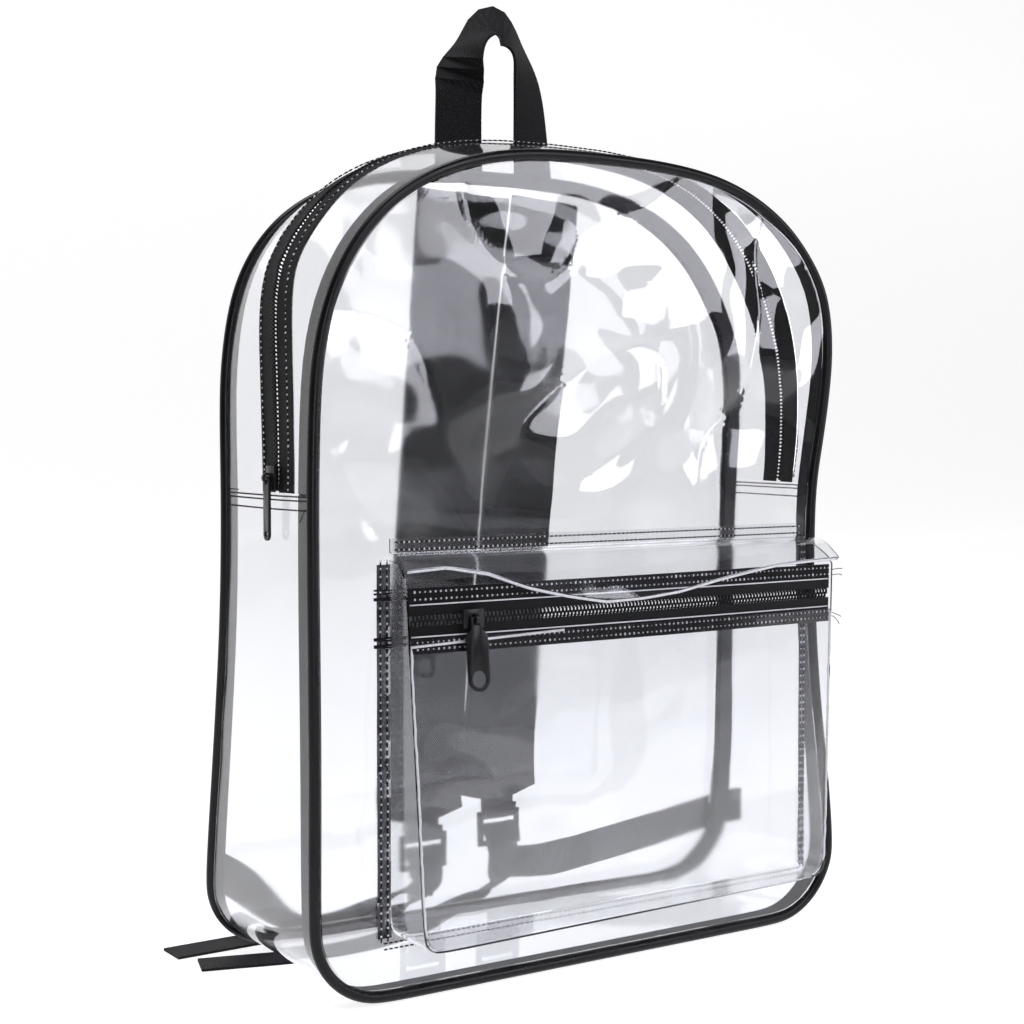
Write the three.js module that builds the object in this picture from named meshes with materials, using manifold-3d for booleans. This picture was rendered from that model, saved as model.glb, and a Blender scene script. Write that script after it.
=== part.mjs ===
// Clear stadium backpack, standing on its base with its straps hanging behind.
// Millimetres, +Z up. +X is the viewer's right, -Y is the front.
import * as THREE from 'three';
import { mergeVertices } from 'three/addons/utils/BufferGeometryUtils.js';
import Module from 'manifold-3d';

// Body of the bag
const WIDTH = 340;
const HEIGHT = 432.5;
const DEPTH = 116;
const CORNER_R = 38;
const SEAM_HEIGHT = 251;
const ARCH_SPRING = 21;
const ARCH_POWER = 2.65;
const BACK_LIFT = 1.9;
const CROWN_RISE = 12;
const CREASE_RISE = 4;
const FOLD_RISE = 10;

// Sheet, tape and clearance
const SHEET = 1.0;
const GAP = 0.3;
const PIPING_R = 3.25;
const BINDING_WIDTH = 10;
const BINDING_THICK = 1.0;
const BINDING_CLEAR = 0.4;

// Main zip
const TAPE_WIDTH = 13;
const TAPE_THICK = 1.0;
const COIL_WIDTH = 4.6;
const COIL_THICK = 2.4;
const SLIDER_LENGTH = 12;
const SLIDER_WIDTH = 9.5;
const SLIDER_THICK = 2.6;
const SLIDER_ABOVE_SEAM = 8;

// Pull tabs and the bail that they hang on
const BAIL_INNER_R = 1.5;
const BAIL_WIRE = 1.2;
const BAIL_WIDTH = 1.8;
const TAB_THICK = 1.3;
const TAB_BAR = 0.9;
const TAB_SIDE_CLEAR = 0.5;
const TAB_NECK_WIDTH = 6;
const MAIN_TAB_LENGTH = 31;
const MAIN_TAB_WIDTH = 6.4;
const MAIN_TAB_HOLE_R = 1.5;
const POCKET_TAB_LENGTH = 36;
const POCKET_TAB_WIDTH = 12.5;
const POCKET_TAB_HOLE_R = 4.2;
const POCKET_TAB_LEAN = 6;

// Front pocket
const POCKET_LEFT = -125.5;
const POCKET_RIGHT = 145.5;
const POCKET_BOTTOM = 31.5;
const POCKET_CORNER_R = 9;
const POCKET_DEPTH = 27;
const POCKET_CROWN = 4;
const POCKET_ZIP_HEIGHT = 192.5;
const POCKET_TOP_ABOVE_ZIP = 31.5;
const POCKET_TOP = POCKET_ZIP_HEIGHT + POCKET_TOP_ABOVE_ZIP;
const POCKET_ZIP_SAG = -1.5;
const POCKET_TAPE_WIDTH = 13.5;
const POCKET_OVERLAP = 7;
const POCKET_SLIDER_X = -90;
const FLAP_SEAM = 7;

// Haul loop, straps and webbing
const LOOP_WIDTH = 28;
const LOOP_HALF_SPAN = 39;
const LOOP_RISE = 97;
const LOOP_THICK = 1.6;
const STRAP_WIDTH = 56;
const STRAP_THICK = 3;
const STRAP_TOP = 422;
const STRAP_MIDDLE_X = 15;
const STRAP_LEAN = 19;
const STRAP_BOW = 27;
const TAB_LOOP_WIDTH = 22;
const WEB_WIDTH = 20;
const WEB_THICK = 1.4;
const BAR_WIDTH = 3;
const BAR_PITCH = 9;
const GLIDE_THICK = 2.4;
const GLIDE_SIDE = 3.5;
const GLIDE_LEFT_HEIGHT = 38;
const GLIDE_RIGHT_HEIGHT = 44;

// How far the soft side edges stand in, as shares of the width, by share of the height
const FRONT_PULL = [
  { height: 0.0, left: 0.0, right: 0.0 },
  { height: 0.11, left: -0.002, right: -0.012 },
  { height: 0.22, left: 0.0, right: 0.01 },
  { height: 0.36, left: 0.0, right: 0.032 },
  { height: 0.565, left: -0.002, right: 0.044 },
  { height: 0.63, left: 0.0, right: 0.026 },
  { height: 0.7, left: 0.0, right: 0.008 },
  { height: 0.77, left: 0.0, right: -0.012 },
  { height: 0.85, left: 0.0, right: -0.033 },
  { height: 1.0, left: 0.0, right: -0.035 },
];
const BACK_PULL = [
  { height: 0.0, left: -0.012, right: 0.0 },
  { height: 0.1, left: -0.012, right: 0.0 },
  { height: 0.3, left: -0.006, right: 0.0 },
  { height: 0.57, left: -0.004, right: 0.0 },
  { height: 0.67, left: -0.004, right: -0.005 },
  { height: 0.78, left: -0.008, right: -0.024 },
  { height: 0.9, left: -0.024, right: -0.025 },
  { height: 1.0, left: -0.034, right: -0.03 },
];

// Distance from the front edge to the back edge, as shares of the depth
const BACK_DEPTH = [
  { height: 0.0, left: 1.034, right: 0.931 },
  { height: 0.06, left: 1.017, right: 0.897 },
  { height: 0.17, left: 0.975, right: 0.85 },
  { height: 0.28, left: 0.931, right: 0.836 },
  { height: 0.42, left: 0.869, right: 0.828 },
  { height: 0.55, left: 0.845, right: 0.81 },
  { height: 0.68, left: 0.862, right: 0.81 },
  { height: 0.78, left: 0.879, right: 0.828 },
  { height: 0.85, left: 0.893, right: 0.862 },
  { height: 1.0, left: 0.888, right: 0.888 },
];

// How full the gusset stands between its seams: an arch on top, a crease low on the sides
const GUSSET_SHAPE = [
  { height: 0.0, crown: 0.0, crease: 0.0 },
  { height: 0.08, crown: 0.0, crease: 0.15 },
  { height: 0.25, crown: 0.0, crease: 0.8 },
  { height: 0.45, crown: 0.0, crease: 1.0 },
  { height: 0.58, crown: 0.1, crease: 0.5 },
  { height: 0.7, crown: 0.25, crease: 0.0 },
  { height: 0.9, crown: 0.6, crease: 0.0 },
  { height: 1.0, crown: 1.0, crease: 0.0 },
];
const CREASE_AT = 0.29;

// The zip's way over the arch, as shares of the way from the front seam to the back seam
const ZIP_PATH = [
  { height: 0.0, left: 0.31, right: 0.34 },
  { height: 0.67, left: 0.31, right: 0.4 },
  { height: 0.75, left: 0.36, right: 0.5 },
  { height: 0.8, left: 0.44, right: 0.54 },
  { height: 0.85, left: 0.52, right: 0.56 },
  { height: 1.0, left: 0.53, right: 0.53 },
];

// Soft folds in the upper half of the panels: places and reaches as shares of the half width and
// the height, lean in degrees, rise as a share of the fold's own height
const FRONT_FOLDS = [
  { across: -0.3, up: 0.86, wide: 0.16, tall: 0.09, lean: 35, rise: 0.8 },
  { across: -0.05, up: 0.74, wide: 0.1, tall: 0.14, lean: -28, rise: -0.7 },
  { across: -0.45, up: 0.68, wide: 0.13, tall: 0.12, lean: 20, rise: 0.45 },
  { across: 0.25, up: 0.7, wide: 0.12, tall: 0.11, lean: -15, rise: 0.6 },
  { across: 0.55, up: 0.82, wide: 0.14, tall: 0.1, lean: -40, rise: 0.55 },
  { across: 0.62, up: 0.67, wide: 0.1, tall: 0.08, lean: 10, rise: -0.5 },
];
const BACK_FOLDS = [
  { across: -0.5, up: 0.75, wide: 0.3, tall: 0.2, lean: 15, rise: -0.5 },
  { across: 0.4, up: 0.55, wide: 0.3, tall: 0.2, lean: -20, rise: 0.35 },
  { across: 0.1, up: 0.25, wide: 0.4, tall: 0.15, lean: 0, rise: -0.4 },
];
const FOLD_FLOOR = 0.56;

// Depth of the pocket at its corners, as shares of the pocket's depth
const POCKET_CORNER_DEPTH = { topLeft: 0.55, topRight: 1.0, bottomLeft: 1.25, bottomRight: 0.85 };

// The rain flap hangs from its seam in front of the zip: its free edge, as shares of the way from
// the seam down to the zip, and how far it stands out, as shares of the pocket's depth
const FLAP_EDGE = [
  { across: 0.0, drop: 0.24, out: 0.6 },
  { across: 0.12, drop: 0.18, out: 0.66 },
  { across: 0.25, drop: 0.58, out: 0.84 },
  { across: 0.4, drop: 0.88, out: 0.97 },
  { across: 0.55, drop: 0.84, out: 1.1 },
  { across: 0.7, drop: 0.57, out: 1.2 },
  { across: 0.85, drop: 0.38, out: 1.25 },
  { across: 1.0, drop: 0.36, out: 1.15 },
];
const FLAP_ROWS = 4;
const FLAP_BULGE = 0.3;

// Both edges of the haul loop as seen from the front: across as shares of the half span, up as
// shares of the rise. The depth between them follows from the webbing's width.
const LOOP_EDGES = [
  { nearX: -0.22, nearUp: 0.00, farX: -0.92, farUp: 0.00 },
  { nearX: -0.21, nearUp: 0.32, farX: -0.92, farUp: 0.32 },
  { nearX: -0.20, nearUp: 0.50, farX: -0.90, farUp: 0.47 },
  { nearX: -0.32, nearUp: 0.65, farX: -0.70, farUp: 0.62 },
  { nearX: -0.33, nearUp: 0.74, farX: -0.36, farUp: 0.79 },
  { nearX: -0.21, nearUp: 0.76, farX: -0.04, farUp: 0.94 },
  { nearX: 0.03, nearUp: 0.75, farX: 0.19, farUp: 1.00 },
  { nearX: 0.14, nearUp: 0.74, farX: 0.50, farUp: 0.92 },
  { nearX: 0.23, nearUp: 0.71, farX: 0.72, farUp: 0.78 },
  { nearX: 0.29, nearUp: 0.58, farX: 0.91, farUp: 0.61 },
  { nearX: 0.33, nearUp: 0.44, farX: 1.00, farUp: 0.42 },
  { nearX: 0.37, nearUp: 0.00, farX: 1.08, farUp: 0.00 },
];
const LOOP_STEPS = 24;

// How a strap hangs: up as shares of the strap's top height, lean and bow as shares of their sizes,
// and how far its outer edge is turned to the back, in degrees, for the left and the right strap
const STRAP_HANG = [
  { up: 1.0, lean: 0.0, bow: 0.0, left: 10, right: 15 },
  { up: 0.93, lean: 0.08, bow: 0.1, left: 8, right: 14 },
  { up: 0.8, lean: 0.25, bow: 0.36, left: 2, right: 12 },
  { up: 0.6, lean: 0.5, bow: 0.62, left: -4, right: 11 },
  { up: 0.4, lean: 0.75, bow: 0.83, left: -4, right: 11 },
  { up: 0.25, lean: 0.93, bow: 0.96, left: -4, right: 11 },
];

// The webbing's way round the bars of a tri-glide: out in half thicknesses, up in bar pitches
const GLIDE_ROUTE = [
  { out: -1.0, up: -2.3 },
  { out: -1.0, up: -1.5 },
  { out: -1.0, up: -0.8 },
  { out: 1.0, up: -0.2 },
  { out: 1.0, up: 0.2 },
  { out: 0.55, up: 0.3 },
  { out: -0.55, up: 0.3 },
  { out: -1.1, up: 0.16 },
  { out: -1.3, up: -0.2 },
  { out: -2.0, up: -0.85 },
  { out: -2.0, up: -1.5 },
  { out: -2.0, up: -2.1 },
];

// Free stretches of the webbing. across is a share of the half width, back a share of the depth
// behind the front plane, up a share of the tri-glide's height; the last three give the direction
// of the webbing's width.
const LEFT_LEAD = [
  { across: -0.985, back: 1.06, up: 1.24, wideX: 0, wideY: 0.05, wideZ: 1 },
  { across: -0.95, back: 1.12, up: 1.16, wideX: 0.1, wideY: 0.1, wideZ: 1 },
  { across: -0.85, back: 1.15, up: 0.86, wideX: 0.5, wideY: 0.1, wideZ: 0.9 },
  { across: -0.74, back: 1.16, up: 0.4, wideX: 0.5, wideY: 0.6, wideZ: 0.7 },
  { across: -0.63, back: 1.16, up: 0.13, wideX: 0.1, wideY: 1, wideZ: 0.15 },
  { across: -0.5, back: 1.15, up: 0.12, wideX: 0, wideY: 1, wideZ: 0 },
  { across: -0.37, back: 1.15, up: 0.25, wideX: 0.2, wideY: 1, wideZ: 0 },
  { across: -0.25, back: 1.13, up: 0.42, wideX: 0.7, wideY: 0.6, wideZ: -0.2 },
];
const RIGHT_LEAD = [
  { across: 1.0, back: 0.96, up: 0.93, wideX: 0, wideY: 0, wideZ: 1 },
  { across: 1.1, back: 0.975, up: 0.93, wideX: 0, wideY: 0, wideZ: 1 },
  { across: 1.17, back: 0.985, up: 0.93, wideX: 0, wideY: 0, wideZ: 1 },
  { across: 1.185, back: 1.005, up: 0.93, wideX: 0, wideY: 0, wideZ: 1 },
  { across: 1.165, back: 1.025, up: 0.92, wideX: 0, wideY: 0, wideZ: 1 },
  { across: 1.0, back: 1.04, up: 0.84, wideX: 0, wideY: 0, wideZ: 1 },
  { across: 0.75, back: 1.05, up: 0.7, wideX: 0, wideY: 0.1, wideZ: 1 },
  { across: 0.5, back: 1.08, up: 0.56, wideX: 0.2, wideY: 0.3, wideZ: 1 },
  { across: 0.3, back: 1.11, up: 0.46, wideX: 0.6, wideY: 0.3, wideZ: 0.7 },
];
const LEFT_TAIL = [
  { across: -0.2, back: 1.11, up: 0.34, wideX: 1, wideY: 0.2, wideZ: 0 },
  { across: -0.23, back: 1.14, up: 0.16, wideX: 0.8, wideY: 0.7, wideZ: 0 },
  { across: -0.33, back: 1.18, up: 0.04, wideX: 0.2, wideY: 1, wideZ: 0 },
  { across: -0.5, back: 1.175, up: 0.0, wideX: 0, wideY: 1, wideZ: 0 },
  { across: -0.75, back: 1.165, up: 0.0, wideX: 0, wideY: 1, wideZ: 0 },
  { across: -0.95, back: 1.16, up: 0.0, wideX: 0, wideY: 1, wideZ: 0 },
  { across: -1.1, back: 1.155, up: 0.0, wideX: 0.05, wideY: 1, wideZ: 0 },
];
const RIGHT_TAIL = [
  { across: 0.14, back: 1.14, up: 0.38, wideX: 1, wideY: 0.1, wideZ: 0 },
  { across: 0.11, back: 1.16, up: 0.18, wideX: 0.8, wideY: 0.6, wideZ: 0 },
  { across: 0.02, back: 1.165, up: 0.06, wideX: 0.2, wideY: 1, wideZ: 0 },
  { across: -0.12, back: 1.08, up: 0.0, wideX: 0.3, wideY: 1, wideZ: 0 },
  { across: -0.27, back: 0.93, up: 0.0, wideX: 0.5, wideY: 1, wideZ: 0 },
  { across: -0.45, back: 0.81, up: 0.0, wideX: 0.3, wideY: 1, wideZ: 0 },
  { across: -0.62, back: 0.775, up: 0.0, wideX: 0.05, wideY: 1, wideZ: 0 },
  { across: -0.79, back: 0.8, up: 0.0, wideX: -0.2, wideY: 1, wideZ: 0 },
  { across: -0.93, back: 0.86, up: 0.0, wideX: -0.3, wideY: 1, wideZ: 0 },
  { across: -1.07, back: 0.92, up: 0.0, wideX: -0.3, wideY: 1, wideZ: 0 },
];

// How finely the curves are cut
const CORNER_STEPS = 3;
const SIDE_STEPS = 6;
const SHOULDER_STEPS = 6;
const BASE_STEPS = 10;
const PIPING_SIDES = 8;
const COIL_SIDES = 6;

// Derived sizes
const HALF = WIDTH / 2 - PIPING_R;
const RISE = HEIGHT - 2 * PIPING_R;
const FRONT_Y = -DEPTH / 2;
const ARCH_START = SEAM_HEIGHT + ARCH_SPRING;
const ARCH_RISE = RISE - ARCH_START;
const SEAM_INDEX = CORNER_STEPS + SIDE_STEPS;
const SIDE_COUNT = SEAM_INDEX + 1 + SHOULDER_STEPS;
const BASE_COUNT = 2 * CORNER_STEPS + BASE_STEPS;
const LOOP_COUNT = 2 * (SIDE_COUNT + BASE_COUNT);
const RIGHT_SEAM = BASE_COUNT + SEAM_INDEX;
const LEFT_SEAM = LOOP_COUNT - SEAM_INDEX;
const PANEL_OUTER_Y = FRONT_Y - SHEET / 2;

const X_AXIS = new THREE.Vector3(1, 0, 0);
const Y_AXIS = new THREE.Vector3(0, 1, 0);

// Small helpers

function lerp(a, b, t) {
  return a + (b - a) * t;
}

// Reads a table at a place between its rows
function column(table, key, name, at) {
  const last = table.length - 1;
  if (at <= table[0][key]) return table[0][name];
  for (let i = 1; i <= last; i++) {
    if (at <= table[i][key]) {
      const t = (at - table[i - 1][key]) / (table[i][key] - table[i - 1][key]);
      return lerp(table[i - 1][name], table[i][name], t);
    }
  }
  return table[last][name];
}

function steps(from, to, count) {
  return Array.from({ length: count + 1 }, (_, i) => lerp(from, to, i / count));
}

// Makes a geometry from points and triangles, with its faces pointing out
function closedGeometry(points, triangles) {
  let volume = 0;
  for (const [a, b, c] of triangles) {
    volume += points[a].dot(new THREE.Vector3().crossVectors(points[b], points[c]));
  }
  const turned = volume < 0 ? triangles.map(([a, b, c]) => [a, c, b]) : triangles;
  const geometry = new THREE.BufferGeometry();
  const flat = points.flatMap((p) => [p.x, p.y, p.z]);
  geometry.setAttribute('position', new THREE.Float32BufferAttribute(flat, 3));
  geometry.setIndex(turned.flat());
  return geometry;
}

// A sheet between two grids of points, outer[row][column] and inner[row][column]
function slab(outer, inner) {
  const rows = outer.length;
  const columns = outer[0].length;
  const points = [...outer.flat(), ...inner.flat()];
  const top = (r, c) => r * columns + c;
  const under = (r, c) => rows * columns + r * columns + c;
  const triangles = [];
  const quad = (a, b, c, d) => triangles.push([a, b, c], [a, c, d]);
  for (let r = 0; r < rows - 1; r++) {
    for (let c = 0; c < columns - 1; c++) {
      quad(top(r, c), top(r, c + 1), top(r + 1, c + 1), top(r + 1, c));
      quad(under(r, c), under(r + 1, c), under(r + 1, c + 1), under(r, c + 1));
    }
  }
  for (let c = 0; c < columns - 1; c++) {
    quad(top(0, c), under(0, c), under(0, c + 1), top(0, c + 1));
    quad(top(rows - 1, c), top(rows - 1, c + 1), under(rows - 1, c + 1), under(rows - 1, c));
  }
  for (let r = 0; r < rows - 1; r++) {
    quad(top(r, 0), top(r + 1, 0), under(r + 1, 0), under(r, 0));
    quad(top(r, columns - 1), under(r, columns - 1), under(r + 1, columns - 1), top(r + 1, columns - 1));
  }
  return closedGeometry(points, triangles);
}

// A section carried along frames { at, a, b }; section is a list of [along a, along b]
function sweep(frames, section, closed) {
  const sides = section.length;
  const points = frames.flatMap((frame, i) => {
    const shape = Array.isArray(section[0][0]) ? section[i] : section;
    return shape.map(([u, v]) => frame.at.clone().addScaledVector(frame.a, u).addScaledVector(frame.b, v));
  });
  const triangles = [];
  const last = closed ? frames.length : frames.length - 1;
  for (let i = 0; i < last; i++) {
    const next = (i + 1) % frames.length;
    for (let k = 0; k < sides; k++) {
      const l = (k + 1) % sides;
      triangles.push([i * sides + k, next * sides + k, next * sides + l]);
      triangles.push([i * sides + k, next * sides + l, i * sides + l]);
    }
  }
  if (!closed) {
    const end = (frames.length - 1) * sides;
    for (let k = 1; k < sides - 1; k++) {
      triangles.push([0, k, k + 1]);
      triangles.push([end, end + k + 1, end + k]);
    }
  }
  return closedGeometry(points, triangles);
}

function polygon(radiusA, radiusB, sides) {
  return Array.from({ length: sides }, (_, k) => {
    const turn = (k / sides) * 2 * Math.PI;
    return [radiusA * Math.cos(turn), radiusB * Math.sin(turn)];
  });
}

// A flat band: rows { at, wide } with its own width, or one width for all
function ribbon(rows, width, thick) {
  const over = [[], []];
  const under = [[], []];
  rows.forEach((row, i) => {
    const before = rows[Math.max(0, i - 1)].at;
    const after = rows[Math.min(rows.length - 1, i + 1)].at;
    const along = after.clone().sub(before).normalize();
    const wide = row.wide.clone().addScaledVector(along, -row.wide.dot(along)).normalize();
    const face = new THREE.Vector3().crossVectors(along, wide).normalize();
    const half = (row.width ?? width) / 2;
    for (const side of [0, 1]) {
      const edge = row.at.clone().addScaledVector(wide, side ? half : -half);
      over[side].push(edge.clone().addScaledVector(face, (row.thick ?? thick) / 2));
      under[side].push(edge.clone().addScaledVector(face, -(row.thick ?? thick) / 2));
    }
  });
  return slab(over, under);
}

const wasm = await Module();
wasm.setup();

// Joins two closed geometries into one body
function joined(first, second) {
  const solids = [first, second].map((geometry) => {
    const bare = geometry.clone();
    bare.deleteAttribute('normal');
    bare.deleteAttribute('uv');
    const merged = mergeVertices(bare, 1e-4);
    return new wasm.Manifold(new wasm.Mesh({
      numProp: 3,
      vertProperties: new Float32Array(merged.attributes.position.array),
      triVerts: new Uint32Array(merged.index.array),
    }));
  });
  const mesh = solids[0].add(solids[1]).getMesh();
  const geometry = new THREE.BufferGeometry();
  geometry.setAttribute('position', new THREE.BufferAttribute(new Float32Array(mesh.vertProperties), 3));
  geometry.setIndex(Array.from(mesh.triVerts));
  return geometry;
}

const bag = new THREE.Group();

const FINISH = {
  clear: { color: 0xdfe3e6, roughness: 0.12, metalness: 0, transparent: true, opacity: 0.35 },
  black_piping: { color: 0x101012, roughness: 0.35, metalness: 0 },
  black_tape: { color: 0x141416, roughness: 0.75, metalness: 0 },
  black_web: { color: 0x121214, roughness: 0.8, metalness: 0 },
  black_coil: { color: 0x0c0c0e, roughness: 0.4, metalness: 0 },
  black_metal: { color: 0x18181a, roughness: 0.35, metalness: 0.6 },
  black_plastic: { color: 0x111113, roughness: 0.45, metalness: 0 },
};

function piece(name, geometry, finish, parent = bag) {
  const mesh = new THREE.Mesh(geometry, new THREE.MeshStandardMaterial(FINISH[finish]));
  mesh.name = name;
  parent.add(mesh);
  return mesh;
}

// Outline of the bag, before the soft edges are pulled out of line

// The right side, from the middle of the bottom corner up to the shoulder of the arch
function sidePath() {
  const path = [];
  for (const turn of steps(-Math.PI / 4, 0, CORNER_STEPS)) {
    path.push([HALF - CORNER_R * (1 - Math.cos(turn)), CORNER_R * (1 + Math.sin(turn))]);
  }
  for (const z of steps(CORNER_R, SEAM_HEIGHT, SIDE_STEPS).slice(1)) {
    path.push([HALF, z]);
  }
  for (const turn of steps(0, Math.PI / 4, SHOULDER_STEPS)) {
    path.push(archPoint(turn));
  }
  return path;
}

function archPoint(turn) {
  const power = 2 / ARCH_POWER;
  const cos = Math.cos(turn);
  return [
    HALF * Math.sign(cos) * Math.abs(cos) ** power,
    ARCH_START + ARCH_RISE * Math.sin(turn) ** power,
  ];
}

// The base, from the middle of the left bottom corner to the middle of the right one
function basePath() {
  const corner = steps(Math.PI / 4, 0, CORNER_STEPS).map((turn) => [
    -(HALF - CORNER_R) - CORNER_R * Math.sin(turn),
    CORNER_R * (1 - Math.cos(turn)),
  ]);
  const flat = steps(-(HALF - CORNER_R), HALF - CORNER_R, BASE_STEPS).slice(1, -1).map((x) => [x, 0]);
  const mirrored = corner.map(([x, z]) => [-x, z]).reverse();
  return [...corner, ...flat, ...mirrored];
}

// Stations all round: base to the right, right side up, arch to the left, left side down
function loopPath() {
  const right = sidePath();
  const left = right.map(([x, z]) => [-x, z]).reverse();
  const arch = steps(Math.PI / 4, (3 * Math.PI) / 4, BASE_COUNT).map(archPoint);
  return [basePath(), right, arch, left].flatMap((path) => path.slice(0, -1));
}

const FRONT = { pull: FRONT_PULL, deep: false, lift: 0 };
const BACK = { pull: BACK_PULL, deep: true, lift: BACK_LIFT };
const FULL_PULL_AT = 0.4;

// Puts a point of the outline on the front or back seam
function seamPoint(face, x, z) {
  const share = z / RISE;
  const weight = Math.min(1, Math.abs(x) / (FULL_PULL_AT * HALF));
  const pull = column(face.pull, 'height', x < 0 ? 'left' : 'right', share);
  const mix = (x / HALF + 1) / 2;
  const left = column(BACK_DEPTH, 'height', 'left', share);
  const right = column(BACK_DEPTH, 'height', 'right', share);
  const back = face.deep ? DEPTH * lerp(left, right, mix) : 0;
  return new THREE.Vector3(
    x - Math.sign(x) * weight * WIDTH * pull,
    FRONT_Y + back,
    PIPING_R + z + face.lift * (1 - share),
  );
}

// The seam's stations, each with its outward direction in the plane of the panel
function seamLoop(face) {
  const points = loopPath().map(([x, z]) => seamPoint(face, x, z));
  return points.map((at, i) => {
    const before = points[(i + points.length - 1) % points.length];
    const after = points[(i + 1) % points.length];
    const out = new THREE.Vector3(after.z - before.z, 0, before.x - after.x).normalize();
    return { at, out };
  });
}

const frontSeam = seamLoop(FRONT);
const backSeam = seamLoop(BACK);

// Panels: a patch filled in between its four edges, with soft folds

function patch(edge) {
  const base = edge.slice(0, BASE_COUNT + 1);
  const right = edge.slice(BASE_COUNT, BASE_COUNT + SIDE_COUNT + 1);
  const arch = edge.slice(BASE_COUNT + SIDE_COUNT, 2 * BASE_COUNT + SIDE_COUNT + 1).reverse();
  const left = [...edge.slice(2 * BASE_COUNT + SIDE_COUNT), edge[0]].reverse();
  const grid = [];
  for (let r = 0; r <= SIDE_COUNT; r++) {
    const v = r / SIDE_COUNT;
    const row = [];
    for (let c = 0; c <= BASE_COUNT; c++) {
      const u = c / BASE_COUNT;
      const across = left[r].clone().lerp(right[r], u);
      const up = base[c].clone().lerp(arch[c], v);
      const low = base[0].clone().lerp(base[BASE_COUNT], u);
      const high = arch[0].clone().lerp(arch[BASE_COUNT], u);
      row.push(across.add(up).sub(low.lerp(high, v)));
    }
    grid.push(row);
  }
  return grid;
}

// How far a panel stands out at a point, from its table of folds
function foldHeight(folds, x, z) {
  let height = 0;
  for (const fold of folds) {
    const lean = THREE.MathUtils.degToRad(fold.lean);
    const dx = x - fold.across * HALF;
    const dz = z - fold.up * HEIGHT;
    const a = (dx * Math.cos(lean) + dz * Math.sin(lean)) / (fold.wide * WIDTH);
    const b = (dz * Math.cos(lean) - dx * Math.sin(lean)) / (fold.tall * HEIGHT);
    height += fold.rise * Math.exp(-2 * (a * a + b * b));
  }
  return FOLD_RISE * height;
}

function panel(seam, folds, floor, outward) {
  const inset = PIPING_R + GAP;
  const grid = patch(seam.map(({ at, out }) => at.clone().addScaledVector(out, -inset)));
  const face = (offset) => grid.map((row, r) => row.map((point, c) => {
    const edge = Math.min(r, c, SIDE_COUNT - r, BASE_COUNT - c) / 3;
    const above = (point.z - floor * HEIGHT) / (0.12 * HEIGHT);
    const fade = THREE.MathUtils.clamp(edge, 0, 1) * THREE.MathUtils.clamp(above, 0, 1);
    const stand = outward * (fade * foldHeight(folds, point.x, point.z) + offset);
    return point.clone().addScaledVector(Y_AXIS, stand);
  }));
  return slab(face(SHEET / 2), face(-SHEET / 2));
}

piece('front_panel', panel(frontSeam, FRONT_FOLDS, FOLD_FLOOR, -1), 'clear');
piece('back_panel', panel(backSeam, BACK_FOLDS, 0, 1), 'clear');

// Piping round both seams

function piping(seam) {
  const frames = seam.map(({ at, out }) => ({ at, a: out, b: Y_AXIS }));
  return sweep(frames, polygon(PIPING_R, PIPING_R, PIPING_SIDES), true);
}

piece('piping_front', piping(frontSeam), 'black_piping');
piece('piping_back', piping(backSeam), 'black_piping');

// Gusset: the strip between the two seams

// A place on the gusset: station along the seams, share of the way back, distance inward
function gussetPoint(station, share, inward) {
  const low = Math.floor(station);
  const part = station - low;
  const at = (index) => {
    const i = (index + LOOP_COUNT) % LOOP_COUNT;
    const front = frontSeam[i].at.clone().addScaledVector(Y_AXIS, PIPING_R + GAP);
    const back = backSeam[i].at.clone().addScaledVector(Y_AXIS, -PIPING_R - GAP);
    const out = frontSeam[i].out.clone().lerp(backSeam[i].out, share).normalize();
    const height = front.z / HEIGHT;
    const crown = CROWN_RISE * column(GUSSET_SHAPE, 'height', 'crown', height);
    const crease = CREASE_RISE * column(GUSSET_SHAPE, 'height', 'crease', height);
    const ramp = Math.min(share / CREASE_AT, (1 - share) / (1 - CREASE_AT));
    const stand = crown * Math.sin(Math.PI * share) + crease * ramp;
    return front.lerp(back, share).addScaledVector(out, stand + SHEET / 2 - inward);
  };
  return part === 0 ? at(low) : at(low).lerp(at(low + 1), part);
}

function gussetSpan(station) {
  return gussetPoint(station, 0, 0).distanceTo(gussetPoint(station, 1, 0));
}

// A strip of the gusset; shares(station) lists its rows from front to back
function strip(stations, shares, inward, thick) {
  const face = (depth) => {
    const rows = stations.map((s) => shares(s).map((share) => gussetPoint(s, share, depth)));
    return rows[0].map((_, r) => rows.map((row) => row[r]));
  };
  return slab(face(inward), face(inward + thick));
}

function whole(from, to) {
  return Array.from({ length: to - from + 1 }, (_, i) => from + i);
}

const bindingShare = (station) => BINDING_WIDTH / gussetSpan(station);
const lowerStations = whole(LEFT_SEAM - LOOP_COUNT, RIGHT_SEAM);

function lowerShares(station) {
  const edge = bindingShare(station);
  return [0, edge, CREASE_AT, lerp(CREASE_AT, 1, 0.5), 1 - edge, 1];
}

piece('gusset_lower', strip(lowerStations, lowerShares, 0, SHEET), 'clear');

// Above the side seams the strip is split by the zip
const stationLength = frontSeam[RIGHT_SEAM].at.distanceTo(frontSeam[RIGHT_SEAM + 1].at);
const seamGap = (2 * GAP) / stationLength;
const upperStations = [
  RIGHT_SEAM + seamGap,
  ...whole(RIGHT_SEAM + 1, LEFT_SEAM - 1),
  LEFT_SEAM - seamGap,
];

function zipShare(station) {
  const x = gussetPoint(station, 0, 0).x;
  const height = frontSeam[Math.round(station) % LOOP_COUNT].at.z / HEIGHT;
  const left = column(ZIP_PATH, 'height', 'left', height);
  const right = column(ZIP_PATH, 'height', 'right', height);
  return lerp(left, right, THREE.MathUtils.clamp((x / HALF + 1) / 2, 0, 1));
}

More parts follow.
